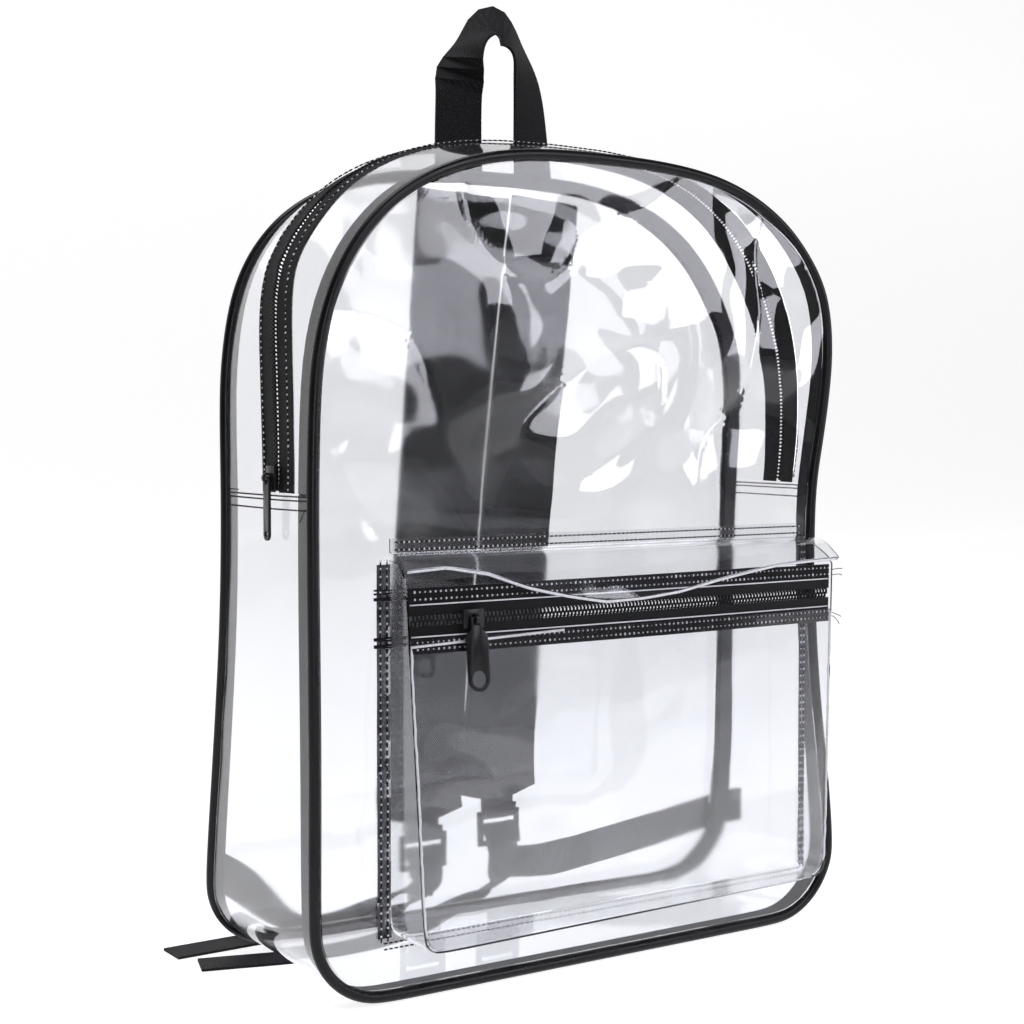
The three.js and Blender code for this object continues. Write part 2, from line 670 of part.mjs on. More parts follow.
// Shares across the zip, counted from its middle line, in millimetres
const zipEdge = (station, distance) => zipShare(station) + distance / gussetSpan(station);
const tapeInner = COIL_WIDTH / 2 + GAP;
const tapeOuter = tapeInner + TAPE_WIDTH;
const stripEdge = tapeOuter + BINDING_CLEAR;

piece('gusset_upper_front', strip(
  upperStations,
  (s) => [0, bindingShare(s), zipEdge(s, -stripEdge)],
  0,
  SHEET,
), 'clear');
piece('gusset_upper_back', strip(
  upperStations,
  (s) => [zipEdge(s, stripEdge), 1 - bindingShare(s), 1],
  0,
  SHEET,
), 'clear');
piece('main_zip_tape_front', strip(
  upperStations,
  (s) => [zipEdge(s, -tapeOuter), zipEdge(s, -tapeInner)],
  0,
  TAPE_THICK,
), 'black_tape');
piece('main_zip_tape_back', strip(
  upperStations,
  (s) => [zipEdge(s, tapeInner), zipEdge(s, tapeOuter)],
  0,
  TAPE_THICK,
), 'black_tape');

const coilFrames = upperStations.map((s) => ({
  at: gussetPoint(s, zipShare(s), TAPE_THICK / 2),
  a: frontSeam[Math.round(s) % LOOP_COUNT].out,
  b: Y_AXIS,
}));
piece('main_zip_coil', sweep(coilFrames, polygon(COIL_THICK / 2, COIL_WIDTH / 2, COIL_SIDES), false), 'black_coil');

// Binding tape on the seam allowances, inside the gusset along both seams
const allStations = whole(0, LOOP_COUNT - 1);

function bindingLoop(from, to) {
  const rows = allStations.map((s) => {
    const outer = SHEET + BINDING_CLEAR;
    return {
      out: [gussetPoint(s, from(s), outer), gussetPoint(s, to(s), outer)],
      in: [gussetPoint(s, from(s), outer + BINDING_THICK), gussetPoint(s, to(s), outer + BINDING_THICK)],
    };
  });
  const points = rows.flatMap((row) => [row.out[0], row.out[1], row.in[1], row.in[0]]);
  const triangles = [];
  for (let i = 0; i < rows.length; i++) {
    const next = (i + 1) % rows.length;
    for (let k = 0; k < 4; k++) {
      const l = (k + 1) % 4;
      triangles.push([4 * i + k, 4 * next + k, 4 * next + l], [4 * i + k, 4 * next + l, 4 * i + l]);
    }
  }
  return closedGeometry(points, triangles);
}

piece('binding_front', bindingLoop(() => 0, bindingShare), 'black_tape');
piece('binding_back', bindingLoop((s) => 1 - bindingShare(s), () => 1), 'black_tape');

// Pull tabs and sliders, in a frame of their own: X across, -Y out, Z up, pivot at the origin

const PIVOT_ABOVE_SLIDER = BAIL_INNER_R + 0.1;

function sliderGeometry(length, width) {
  const plate = new THREE.BoxGeometry(width, SLIDER_THICK, length);
  plate.translate(0, PIVOT_ABOVE_SLIDER + SLIDER_THICK / 2, 0);
  const ring = new THREE.Shape();
  ring.absarc(0, 0, BAIL_INNER_R + BAIL_WIRE, 0, 2 * Math.PI);
  const hole = new THREE.Path();
  hole.absarc(0, 0, BAIL_INNER_R, 0, 2 * Math.PI, true);
  ring.holes.push(hole);
  const bail = new THREE.ExtrudeGeometry(ring, { depth: BAIL_WIDTH, bevelEnabled: false, curveSegments: 6 });
  bail.translate(0, 0, -BAIL_WIDTH / 2);
  bail.rotateY(Math.PI / 2);
  return joined(plate, bail);
}

function tabGeometry(length, width, holeR, lean = 0) {
  const neck = TAB_NECK_WIDTH / 2;
  const eyeHalf = BAIL_WIDTH / 2 + TAB_SIDE_CLEAR;
  const eyeBottom = -(BAIL_INNER_R + BAIL_WIRE + TAB_SIDE_CLEAR);
  const round = width / 2;
  const shoulder = eyeBottom - 2 * TAB_BAR;
  const shape = new THREE.Shape();
  shape.moveTo(-neck, TAB_BAR);
  shape.lineTo(-neck, shoulder);
  shape.lineTo(-round, shoulder - (round - neck));
  shape.lineTo(-round, -length + round);
  shape.absarc(0, -length + round, round, Math.PI, 2 * Math.PI);
  shape.lineTo(round, shoulder - (round - neck));
  shape.lineTo(neck, shoulder);
  shape.lineTo(neck, TAB_BAR);
  const eye = new THREE.Path();
  eye.moveTo(-eyeHalf, -TAB_BAR);
  eye.lineTo(eyeHalf, -TAB_BAR);
  eye.lineTo(eyeHalf, eyeBottom);
  eye.lineTo(-eyeHalf, eyeBottom);
  const hole = new THREE.Path();
  hole.absarc(0, -length + round, holeR, 0, 2 * Math.PI, true);
  shape.holes.push(eye, hole);
  const tab = new THREE.ExtrudeGeometry(shape, { depth: TAB_THICK, bevelEnabled: false, curveSegments: 6 });
  tab.translate(0, 0, -TAB_THICK / 2);
  tab.rotateX(Math.PI / 2 - THREE.MathUtils.degToRad(lean));
  return tab;
}

// How far the pivot stands off the face that the slider runs on
const PIVOT_STAND = GAP + SLIDER_THICK + PIVOT_ABOVE_SLIDER;

// Main zip slider, just above the left side seam
const sliderStation = LEFT_SEAM - SLIDER_ABOVE_SEAM / stationLength;
const sliderSeat = gussetPoint(sliderStation, zipShare(sliderStation), -COIL_THICK / 2 + TAPE_THICK / 2);
const mainSlider = new THREE.Group();
mainSlider.position.copy(sliderSeat).addScaledVector(X_AXIS, -PIVOT_STAND);
mainSlider.rotation.z = -Math.PI / 2;
bag.add(mainSlider);
piece('main_zip_slider', sliderGeometry(SLIDER_LENGTH, SLIDER_WIDTH), 'black_metal', mainSlider);
piece('main_zip_puller', tabGeometry(MAIN_TAB_LENGTH, MAIN_TAB_WIDTH, MAIN_TAB_HOLE_R), 'black_metal', mainSlider);

// Front pocket

// How far the pocket stands out from the panel at a point
function pocketDepth(x, z) {
  const u = (x - POCKET_LEFT) / (POCKET_RIGHT - POCKET_LEFT);
  const v = (z - POCKET_BOTTOM) / (POCKET_TOP - POCKET_BOTTOM);
  const corner = POCKET_CORNER_DEPTH;
  const low = lerp(corner.bottomLeft, corner.bottomRight, u);
  const high = lerp(corner.topLeft, corner.topRight, u);
  const crown = Math.sin(Math.PI * THREE.MathUtils.clamp(u, 0, 1)) * Math.sin(Math.PI * THREE.MathUtils.clamp(v, 0, 1));
  return POCKET_DEPTH * lerp(low, high, v) + POCKET_CROWN * crown;
}

function onPocket(x, z, behind) {
  return new THREE.Vector3(x, PANEL_OUTER_Y - GAP - pocketDepth(x, z) + behind, z);
}

// The zip's middle line, which slopes a little across the pocket
function pocketZipHeight(x) {
  const u = (x - POCKET_LEFT) / (POCKET_RIGHT - POCKET_LEFT);
  return POCKET_ZIP_HEIGHT - POCKET_ZIP_SAG * u;
}

const POCKET_COLUMNS = 12;
const POCKET_ROWS = 8;
const pocketXs = (inset) => steps(POCKET_LEFT + inset, POCKET_RIGHT - inset, POCKET_COLUMNS);
const tapeHalf = COIL_WIDTH / 2 + GAP + POCKET_TAPE_WIDTH;
const frontInset = SHEET + GAP;

// The pocket's front ends over the lower tape, one clearance in front of it
const pocketEdge = (x) => pocketZipHeight(x) - tapeHalf + POCKET_OVERLAP;

// How far its round lower corners cut in at a height above its lower edge
function cornerCut(above) {
  const short = Math.max(0, POCKET_CORNER_R - above);
  return POCKET_CORNER_R - Math.sqrt(POCKET_CORNER_R ** 2 - short ** 2);
}

function pocketFront(behind) {
  const floor = POCKET_BOTTOM + frontInset;
  const corner = [0, 0.3 * POCKET_CORNER_R].map((above) => (
    pocketXs(frontInset + cornerCut(above)).map((x) => onPocket(x, floor + above, behind))));
  const face = steps(0, 1, POCKET_ROWS).map((v) => pocketXs(frontInset).map((x) => (
    onPocket(x, lerp(floor + POCKET_CORNER_R, pocketEdge(x), v), behind))));
  return [...corner, ...face];
}

piece('pocket_front', slab(pocketFront(0), pocketFront(SHEET)), 'clear');

// Side and bottom strip of the pocket, from the panel out to the pocket's front
function pocketPath(inset, share) {
  const left = POCKET_LEFT + inset;
  const right = POCKET_RIGHT - inset;
  const bottom = POCKET_BOTTOM + inset;
  const radius = POCKET_CORNER_R - inset;
  const path = steps(sideTop(POCKET_LEFT, share), bottom + radius, 7).map((z) => [left, z]);
  for (const turn of steps(0, Math.PI / 2, 3).slice(1)) {
    path.push([left + radius * (1 - Math.cos(turn)), bottom + radius * (1 - Math.sin(turn))]);
  }
  for (const x of steps(left + radius, right - radius, 8).slice(1)) {
    path.push([x, bottom]);
  }
  for (const turn of steps(Math.PI / 2, 0, 3).slice(1)) {
    path.push([right - radius * (1 - Math.cos(turn)), bottom + radius * (1 - Math.sin(turn))]);
  }
  for (const z of steps(bottom + radius, sideTop(POCKET_RIGHT, share), 7).slice(1)) {
    path.push([right, z]);
  }
  return path;
}

// How far the flap's free edge hangs below its seam
function flapDrop(x) {
  const u = (x - POCKET_LEFT) / (POCKET_RIGHT - POCKET_LEFT);
  return (POCKET_TOP - pocketZipHeight(x)) * column(FLAP_EDGE, 'across', 'drop', u);
}

// The side walls end just under the flap
function sideTop(x, share) {
  return POCKET_TOP - 2 * SHEET - GAP - flapDrop(x) * share ** 2;
}

function pocketStrip(inset) {
  return steps(0, 1, 3).map((share) => pocketPath(inset, share).map(([x, z]) => {
    const front = onPocket(x, z, 0).y;
    return new THREE.Vector3(x, lerp(PANEL_OUTER_Y - GAP, front, share), z);
  }));
}

piece('pocket_gusset', slab(pocketStrip(0), pocketStrip(SHEET)), 'clear');

// The pocket's zip lies one clearance behind its front
const tapeBehind = SHEET + GAP;

function pocketTape(from, to) {
  const face = (behind) => [from, to].map((distance) => pocketXs(frontInset).map((x) => (
    onPocket(x, pocketZipHeight(x) + distance, tapeBehind + behind))));
  return slab(face(0), face(TAPE_THICK));
}

const coilHalf = COIL_WIDTH / 2 + GAP;
piece('pocket_zip_tape_upper', pocketTape(coilHalf, tapeHalf), 'black_tape');
piece('pocket_zip_tape_lower', pocketTape(-tapeHalf, -coilHalf), 'black_tape');

const pocketCoil = pocketXs(frontInset).map((x) => ({
  at: onPocket(x, pocketZipHeight(x), tapeBehind + TAPE_THICK / 2),
  a: Y_AXIS,
  b: new THREE.Vector3(0, 0, 1),
}));
piece('pocket_zip_coil', sweep(pocketCoil, polygon(COIL_THICK / 2, COIL_WIDTH / 2, COIL_SIDES), false), 'black_coil');

const pocketSlider = new THREE.Group();
pocketSlider.position.copy(onPocket(
  POCKET_SLIDER_X,
  pocketZipHeight(POCKET_SLIDER_X),
  tapeBehind + TAPE_THICK / 2 - COIL_THICK / 2 - PIVOT_STAND,
));
bag.add(pocketSlider);
piece('pocket_zip_slider', sliderGeometry(SLIDER_WIDTH, SLIDER_LENGTH), 'black_metal', pocketSlider);
piece(
  'pocket_zip_puller',
  tabGeometry(POCKET_TAB_LENGTH, POCKET_TAB_WIDTH, POCKET_TAB_HOLE_R, POCKET_TAB_LEAN),
  'black_metal',
  pocketSlider,
);

// Rain flap: sewn to the panel along its top, then out and down in front of the zip
function pocketFlap(behind) {
  return steps(0, 1, FLAP_ROWS).map((v) => pocketXs(0).map((x) => {
    const u = (x - POCKET_LEFT) / (POCKET_RIGHT - POCKET_LEFT);
    const drop = flapDrop(x);
    const out = POCKET_DEPTH * column(FLAP_EDGE, 'across', 'out', u);
    const bulge = FLAP_BULGE * Math.sin(Math.PI * v);
    const stand = GAP + SHEET + out * (v + bulge * (1 - v)) - behind;
    return new THREE.Vector3(x, PANEL_OUTER_Y - stand, POCKET_TOP + GAP + SHEET - behind * v - drop * v * v);
  }));
}

function flapSeam(behind) {
  return pocketXs(0).map((x) => (
    new THREE.Vector3(x, PANEL_OUTER_Y - GAP - SHEET + behind, POCKET_TOP + GAP + SHEET + FLAP_SEAM)));
}

piece('pocket_flap', slab(
  [flapSeam(0), ...pocketFlap(0)],
  [flapSeam(SHEET), ...pocketFlap(SHEET)],
), 'clear');

// Haul loop, standing on the back seam

const backTopY = FRONT_Y + DEPTH * column(BACK_DEPTH, 'height', 'left', 1);
const loopFoot = HEIGHT + GAP;
const loopEdges = LOOP_EDGES.map((row) => {
  const near = new THREE.Vector3(row.nearX * LOOP_HALF_SPAN, 0, loopFoot + row.nearUp * LOOP_RISE);
  const far = new THREE.Vector3(row.farX * LOOP_HALF_SPAN, 0, loopFoot + row.farUp * LOOP_RISE);
  const seen = near.distanceTo(far);
  const deep = Math.sqrt(Math.max(0, LOOP_WIDTH ** 2 - seen ** 2));
  near.y = backTopY - deep / 2;
  far.y = backTopY + deep / 2;
  return [near, far];
});
const [nearEdge, farEdge] = [0, 1].map((side) => (
  new THREE.CatmullRomCurve3(loopEdges.map((row) => row[side]), false, 'centripetal')));
const loopRows = steps(0, 1, LOOP_STEPS).map((t) => {
  const near = nearEdge.getPoint(t);
  const far = farEdge.getPoint(t);
  return { at: near.clone().lerp(far, 0.5), wide: far.sub(near) };
});
piece('haul_loop', ribbon(loopRows, LOOP_WIDTH, LOOP_THICK), 'black_web');

// Shoulder straps, tri-glides and webbing

const strapTopY = backTopY + SHEET / 2 + GAP + STRAP_THICK / 2;
const wrapOff = GLIDE_THICK / 2 + GAP + WEB_THICK / 2;

// The middle line between the two straps at a height
function strapLine(z) {
  const share = z / STRAP_TOP;
  const table = [...STRAP_HANG].reverse();
  return {
    x: STRAP_MIDDLE_X - STRAP_LEAN * column(table, 'up', 'lean', share),
    y: strapTopY + STRAP_BOW * column(table, 'up', 'bow', share),
  };
}

function strapSide(side) {
  const sign = side === 'left' ? -1 : 1;
  const yaw = THREE.MathUtils.degToRad(STRAP_HANG[STRAP_HANG.length - 1][side]);
  const glideHeight = side === 'left' ? GLIDE_LEFT_HEIGHT : GLIDE_RIGHT_HEIGHT;
  const offset = sign * (STRAP_WIDTH / 2 + 2 * GAP);
  const low = strapLine(glideHeight);
  const glide = new THREE.Vector3(low.x + offset, low.y + Math.abs(offset) * Math.sin(yaw), glideHeight);
  const hang = STRAP_HANG.map((row) => {
    const z = row.up * STRAP_TOP;
    const line = strapLine(z);
    const turned = THREE.MathUtils.degToRad(row[side]);
    return {
      at: new THREE.Vector3(
        line.x + offset * Math.cos(turned),
        line.y + offset * Math.sin(turned) * sign,
        z,
      ),
      wide: new THREE.Vector3(Math.cos(turned), Math.sin(turned) * sign, 0),
    };
  });
  return { sign, glide, hang };
}

// The strap's narrow end goes down behind the top bar, through the slot and up again in front
function strapGeometry({ glide, hang }) {
  const bar = glide.z + BAR_PITCH;
  const under = BAR_WIDTH / 2 + GAP + WEB_THICK / 2;
  const tab = (out, up, width, thick) => ({
    at: new THREE.Vector3(glide.x, glide.y + out, up),
    wide: X_AXIS,
    width,
    thick,
  });
  const round = [
    [wrapOff + STRAP_THICK, bar + 9 * under, STRAP_WIDTH, STRAP_THICK],
    [wrapOff + WEB_THICK, bar + 5.4 * under, STRAP_WIDTH, STRAP_THICK],
    [wrapOff + 0.3, bar + 3.6 * under, TAB_LOOP_WIDTH, WEB_THICK],
    [wrapOff, bar, TAB_LOOP_WIDTH, WEB_THICK],
    [wrapOff * 0.93, bar - 0.72 * under, TAB_LOOP_WIDTH, WEB_THICK],
    [wrapOff * 0.5, bar - under, TAB_LOOP_WIDTH, WEB_THICK],
    [-wrapOff * 0.5, bar - under, TAB_LOOP_WIDTH, WEB_THICK],
    [-wrapOff * 0.93, bar - 0.72 * under, TAB_LOOP_WIDTH, WEB_THICK],
    [-wrapOff, bar, TAB_LOOP_WIDTH, WEB_THICK],
    [-wrapOff, bar + 2.4 * under, TAB_LOOP_WIDTH, WEB_THICK],
  ];
  return ribbon([...hang, ...round.map((row) => tab(...row))], STRAP_WIDTH, STRAP_THICK);
}

// A tri-glide: a plate with two slots, so three bars
function glideGeometry() {
  const halfHeight = BAR_PITCH + BAR_WIDTH / 2;
  const slotHalf = TAB_LOOP_WIDTH / 2 + 2 * GAP;
  const half = slotHalf + GLIDE_SIDE;
  const shape = new THREE.Shape();
  shape.moveTo(-half, -halfHeight);
  shape.lineTo(half, -halfHeight);
  shape.lineTo(half, halfHeight);
  shape.lineTo(-half, halfHeight);
  for (const low of [-BAR_PITCH + BAR_WIDTH / 2, BAR_WIDTH / 2]) {
    const high = low + BAR_PITCH - BAR_WIDTH;
    const slot = new THREE.Path();
    slot.moveTo(-slotHalf, low);
    slot.lineTo(-slotHalf, high);
    slot.lineTo(slotHalf, high);
    slot.lineTo(slotHalf, low);
    shape.holes.push(slot);
  }
  const plate = new THREE.ExtrudeGeometry(shape, { depth: GLIDE_THICK, bevelEnabled: false });
  plate.translate(0, 0, -GLIDE_THICK / 2);
  plate.rotateX(Math.PI / 2);
  return plate;
}

// A free stretch of webbing, from its table
function freeStretch(table, glideHeight, count) {
  const rows = table.map((row) => ({
    at: new THREE.Vector3(
      row.across * WIDTH / 2,
      FRONT_Y + row.back * DEPTH,
      WEB_THICK / 2 + GAP / 2 + row.up * glideHeight,
    ),
    wide: new THREE.Vector3(row.wideX, row.wideY, row.wideZ).normalize(),
  }));
  const curve = new THREE.CatmullRomCurve3(rows.map((row) => row.at), false, 'centripetal');
  return steps(0, 1, count).map((t) => {
    const place = t * (rows.length - 1);
    const low = Math.min(Math.floor(place), rows.length - 2);
    const at = curve.getPoint(t);
    at.z = Math.max(at.z, WEB_THICK / 2 + GAP / 2);
    return { at, wide: rows[low].wide.clone().lerp(rows[low + 1].wide, place - low) };
  });
}

function webbingGeometry({ glide }, lead, tail) {
  const round = GLIDE_ROUTE.map((row) => ({
    at: new THREE.Vector3(glide.x, glide.y + row.out * wrapOff, glide.z + row.up * BAR_PITCH),
    wide: X_AXIS,
  }));
  const rows = [
    ...freeStretch(lead, glide.z, 2 * lead.length),
    ...round,
    ...freeStretch(tail, glide.z, 2 * tail.length),
  ];
  return ribbon(rows, WEB_WIDTH, WEB_THICK);
}

for (const [side, lead, tail] of [['left', LEFT_LEAD, LEFT_TAIL], ['right', RIGHT_LEAD, RIGHT_TAIL]]) {
  const strap = strapSide(side);
  piece(`shoulder_strap_${side}`, strapGeometry(strap), 'black_web');
  piece(`triglide_${side}`, glideGeometry(), 'black_plastic').position.copy(strap.glide);
  piece(`webbing_${side}`, webbingGeometry(strap, lead, tail), 'black_web');
}

// Origin under the middle of the whole part, on the surface that it stands on
bag.updateMatrixWorld(true);
const box = new THREE.Box3().setFromObject(bag, true);
bag.position.set(-(box.min.x + box.max.x) / 2, -(box.min.y + box.max.y) / 2, -box.min.z);
bag.updateMatrixWorld(true);

const backpack = new THREE.Group();
backpack.add(bag);

export default backpack;
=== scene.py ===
# A clear stadium backpack, dressed around its construction model and set in a pale studio.
import math

import bmesh
import bpy
from bpy.props import FloatProperty, FloatVectorProperty, IntProperty, PointerProperty
from mathutils import Matrix, Vector, noise
from mathutils.bvhtree import BVHTree


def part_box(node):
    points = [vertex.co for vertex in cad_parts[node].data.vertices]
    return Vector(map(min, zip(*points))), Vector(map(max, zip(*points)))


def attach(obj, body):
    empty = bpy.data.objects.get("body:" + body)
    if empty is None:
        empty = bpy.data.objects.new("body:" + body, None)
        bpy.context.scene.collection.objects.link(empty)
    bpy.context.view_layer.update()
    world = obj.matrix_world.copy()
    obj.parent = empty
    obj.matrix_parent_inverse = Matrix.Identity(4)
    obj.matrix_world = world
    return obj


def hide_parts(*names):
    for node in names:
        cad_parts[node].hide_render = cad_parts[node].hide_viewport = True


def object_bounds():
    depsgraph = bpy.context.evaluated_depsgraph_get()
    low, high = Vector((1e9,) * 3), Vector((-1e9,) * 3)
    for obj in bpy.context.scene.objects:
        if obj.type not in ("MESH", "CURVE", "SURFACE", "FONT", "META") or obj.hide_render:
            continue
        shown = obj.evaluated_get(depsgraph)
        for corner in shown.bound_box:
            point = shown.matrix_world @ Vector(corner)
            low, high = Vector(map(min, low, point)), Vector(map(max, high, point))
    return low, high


bl_info = {
    "name": "Clear backpack",
    "version": (1, 0, 0),
    "blender": (4, 5, 0),
    "location": "3D View > Sidebar > Backpack",
    "description": "Dresses a clear backpack and sets it in a pale studio",
    "category": "Object",
}

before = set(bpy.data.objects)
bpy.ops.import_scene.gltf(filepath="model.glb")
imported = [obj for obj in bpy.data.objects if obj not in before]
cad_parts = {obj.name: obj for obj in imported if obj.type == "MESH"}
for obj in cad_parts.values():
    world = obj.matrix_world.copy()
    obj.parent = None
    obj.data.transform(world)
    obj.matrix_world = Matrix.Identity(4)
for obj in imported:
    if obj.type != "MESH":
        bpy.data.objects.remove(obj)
CAD_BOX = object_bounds()
MM = 0.001

# Without a seed, noise_vector takes the clock's, and the folds differ from run to run
FOLD_SEED = 7
noise.seed_set(FOLD_SEED)

# Sizes that several pieces share, in metres; the stitch share is the thread's part of its pitch
STITCH_PITCH = 3.6 * MM
STITCH_SHARE = 0.62
THREAD_RADIUS = 0.42 * MM
DIMPLE_RADIUS = 0.62 * MM
EDGE_RADIUS = 0.55 * MM
STRAP_PARTING = 1.0 * MM
RAY_REACH = 0.05
SIDE_REACH = 0.25

# Angles between faces beyond which an edge is kept sharp
RIM_ANGLE = math.radians(50)
MOULDED_RIM_ANGLE = math.radians(35)
BEVEL_ANGLE = math.radians(60)

X = Vector((1, 0, 0))
Y = Vector((0, 1, 0))
Z = Vector((0, 0, 1))


class SheetSettings(bpy.types.PropertyGroup):
    tint: FloatVectorProperty(
        name="Tint",
        description="Colour of the clear sheet",
        subtype="COLOR",
        size=3,
        default=(0.93, 0.935, 0.95),
        min=0,
        max=1,
    )
    crumple: FloatProperty(
        name="Crumple",
        description="Height of the soft folds in the upper part of the front",
        default=5.5 * MM,
        min=0,
        max=0.01,
        unit="LENGTH",
    )
    ripple: FloatProperty(
        name="Ripple",
        description="Height of the fine waves all over the sheets",
        default=0.7 * MM,
        min=0,
        max=0.004,
        unit="LENGTH",
    )


class TrimSettings(bpy.types.PropertyGroup):
    black: FloatVectorProperty(
        name="Black",
        description="Colour of piping, webbing, zips and thread",
        subtype="COLOR",
        size=3,
        default=(0.0035, 0.0035, 0.004),
        min=0,
        max=1,
    )
    # The binding tape is black; this dark grey is painted reflection, the haze that the clear
    # sheet over it lays on it
    binding: FloatVectorProperty(
        name="Binding",
        description="Colour of the binding tape behind the clear sheet",
        subtype="COLOR",
        size=3,
        default=(0.045, 0.045, 0.05),
        min=0,
        max=1,
    )
    tooth_pitch: FloatProperty(
        name="Tooth pitch",
        description="Distance between the turns of the zip coil",
        default=2.2 * MM,
        min=0.001,
        max=0.01,
        unit="LENGTH",
    )
    smoothing: IntProperty(
        name="Smoothing",
        description="How often the straps and the piping are subdivided",
        default=2,
        min=0,
        max=3,
    )


class StudioSettings(bpy.types.PropertyGroup):
    eye: FloatVectorProperty(
        name="Camera place",
        description="Where the camera stands",
        subtype="TRANSLATION",
        size=3,
        default=(-0.5557, -0.8172, 0.2870),
        unit="LENGTH",
    )
    aim: FloatVectorProperty(
        name="Camera aim",
        description="The point in the middle of the picture",
        subtype="TRANSLATION",
        size=3,
        default=(-0.0225, 0.0021, 0.2404),
        unit="LENGTH",
    )
    lens: FloatProperty(
        name="Lens",
        description="Focal length on a 36 mm sensor",
        default=61.96,
        min=10,
        max=300,
        unit="CAMERA",
    )
    key: FloatProperty(
        name="Key light",
        description="Power that each soft light takes its share of",
        default=30.0,
        min=0,
        max=1000,
        unit="POWER",
    )
    backdrop: FloatProperty(
        name="Backdrop",
        description="Brightness of the studio as the eye sees it",
        default=1.0,
        min=0,
        max=10,
    )
    room: FloatProperty(
        name="Room",
        description="Brightness of the studio as the sheets mirror it",
        default=0.06,
        min=0,
        max=10,
    )


# Measuring the construction model

def node_bmesh(node):
    """A merged copy of a node's mesh, in quads where its triangles pair up."""
    bm = bmesh.new()
    bm.from_mesh(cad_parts[node].data)
    bmesh.ops.remove_doubles(bm, verts=bm.verts, dist=0.02 * MM)
    bmesh.ops.join_triangles(
        bm,
        faces=bm.faces,
        angle_face_threshold=math.radians(40),
        angle_shape_threshold=math.radians(170),
    )
    bmesh.ops.recalc_face_normals(bm, faces=bm.faces)
    return bm


def node_tree(*nodes):
    """The surfaces of some nodes, ready to be hit by rays."""
    bm = bmesh.new()
    for node in nodes:
        bm.from_mesh(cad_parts[node].data)
    tree = BVHTree.FromBMesh(bm)
    bm.free()
    return tree


def piece_tree(name):
    """The surface of a finished piece, ready to be hit by rays."""
    bm = bmesh.new()
    bm.from_mesh(bpy.data.objects[name].data)
    tree = BVHTree.FromBMesh(bm)
    bm.free()
    return tree


def plane_points(mesh, centre, normal):
    """Points where a mesh's edges cross a plane."""
    side = [(v.co - centre).dot(normal) for v in mesh.vertices]
    points = []
    for edge in mesh.edges:
        a, b = edge.vertices
        if side[a] * side[b] < 0:
            share = side[a] / (side[a] - side[b])
            points.append(mesh.vertices[a].co.lerp(mesh.vertices[b].co, share))
    return points


def section(node, centre, angle):
    """Points where a node crosses a half plane that turns about a Y line through centre."""
    along = Vector((math.cos(angle), 0, math.sin(angle)))
    across = Vector((-math.sin(angle), 0, math.cos(angle)))
    points = plane_points(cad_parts[node].data, centre, across)
    return [point for point in points if (point - centre).dot(along) > 0], along


# Building pieces

def link(name, mesh):
    """Puts a mesh in the scene as an object."""
    obj = bpy.data.objects.new(name, mesh)
    bpy.context.scene.collection.objects.link(obj)
    return obj


def smoothed(bm, levels, crease=True):
    """Subdivides a bmesh as a smooth surface that keeps its sharp rims."""
    if crease:
        layer = bm.edges.layers.float.new("crease_edge")
        for edge in bm.edges:
            if len(edge.link_faces) == 2 and edge.calc_face_angle(0) > RIM_ANGLE:
                edge[layer] = 1.0
    mesh = bpy.data.meshes.new("smoothing")
    bm.to_mesh(mesh)
    bm.free()
    obj = link("smoothing", mesh)
    modifier = obj.modifiers.new("Smooth", "SUBSURF")
    modifier.levels = levels
    modifier.render_levels = levels
    graph = bpy.context.evaluated_depsgraph_get()
    smooth = bpy.data.meshes.new_from_object(obj.evaluated_get(graph))
    bpy.data.objects.remove(obj)
    bpy.data.meshes.remove(mesh)
    result = bmesh.new()
    result.from_mesh(smooth)
    bpy.data.meshes.remove(smooth)
    return result


def bevelled(node, width, segments):
    """A node's solid with its flat faces joined and its hard edges rounded."""
    bm = node_bmesh(node)
    bmesh.ops.dissolve_limit(bm, angle_limit=math.radians(2), verts=bm.verts, edges=bm.edges)
    rims = [edge for edge in bm.edges if edge.calc_face_angle(0) > BEVEL_ANGLE]
    bmesh.ops.bevel(
        bm,
        geom=rims,
        offset=width,
        offset_type="OFFSET",
        segments=segments,
        profile=0.5,
        affect="EDGES",
        clamp_overlap=True,
        material=-1,
    )
    return bm


def joined(bm, piece):
    """Adds a second bmesh to the first, and frees it."""
    mesh = bpy.data.meshes.new("joined")
    piece.to_mesh(mesh)
    piece.free()
    bm.from_mesh(mesh)
    bpy.data.meshes.remove(mesh)


def finished(name, bm, material, body="bag", replaces=()):
    """Turns a bmesh into a named piece that rides on a body."""
    if not bm.faces:
        raise RuntimeError(name + " has no faces")
    mesh = bpy.data.meshes.new(name)
    bm.to_mesh(mesh)
    bm.free()
    for face in mesh.polygons:
        face.use_smooth = True
    mesh.materials.append(material)
    obj = link(name, mesh)
    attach(obj, body)
    if replaces:
        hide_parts(*replaces)
    return obj


def shade_rims(obj, angle=RIM_ANGLE):
    """Keeps hard edges hard on a piece with thin walls."""
    bm = bmesh.new()
    bm.from_mesh(obj.data)
    for edge in bm.edges:
        edge.smooth = not (len(edge.link_faces) == 2 and edge.calc_face_angle(0) > angle)
    bm.to_mesh(obj.data)
    bm.free()


def waves(place, size, seed):
    """A smooth random height between -1 and 1, bent by a second one."""
    offset = Vector((seed * 7.3, seed * 3.1, seed * 5.7))
    bend = noise.noise_vector(place / (1.7 * size) + offset)
    return noise.noise(place / size + offset + 0.9 * bend)


def ridges(place, size, seed):
    """Soft folds: high along winding lines, low between them."""
    return 1 - 2 * math.sqrt(abs(waves(place, size, seed)) + 0.06)


# Stitches

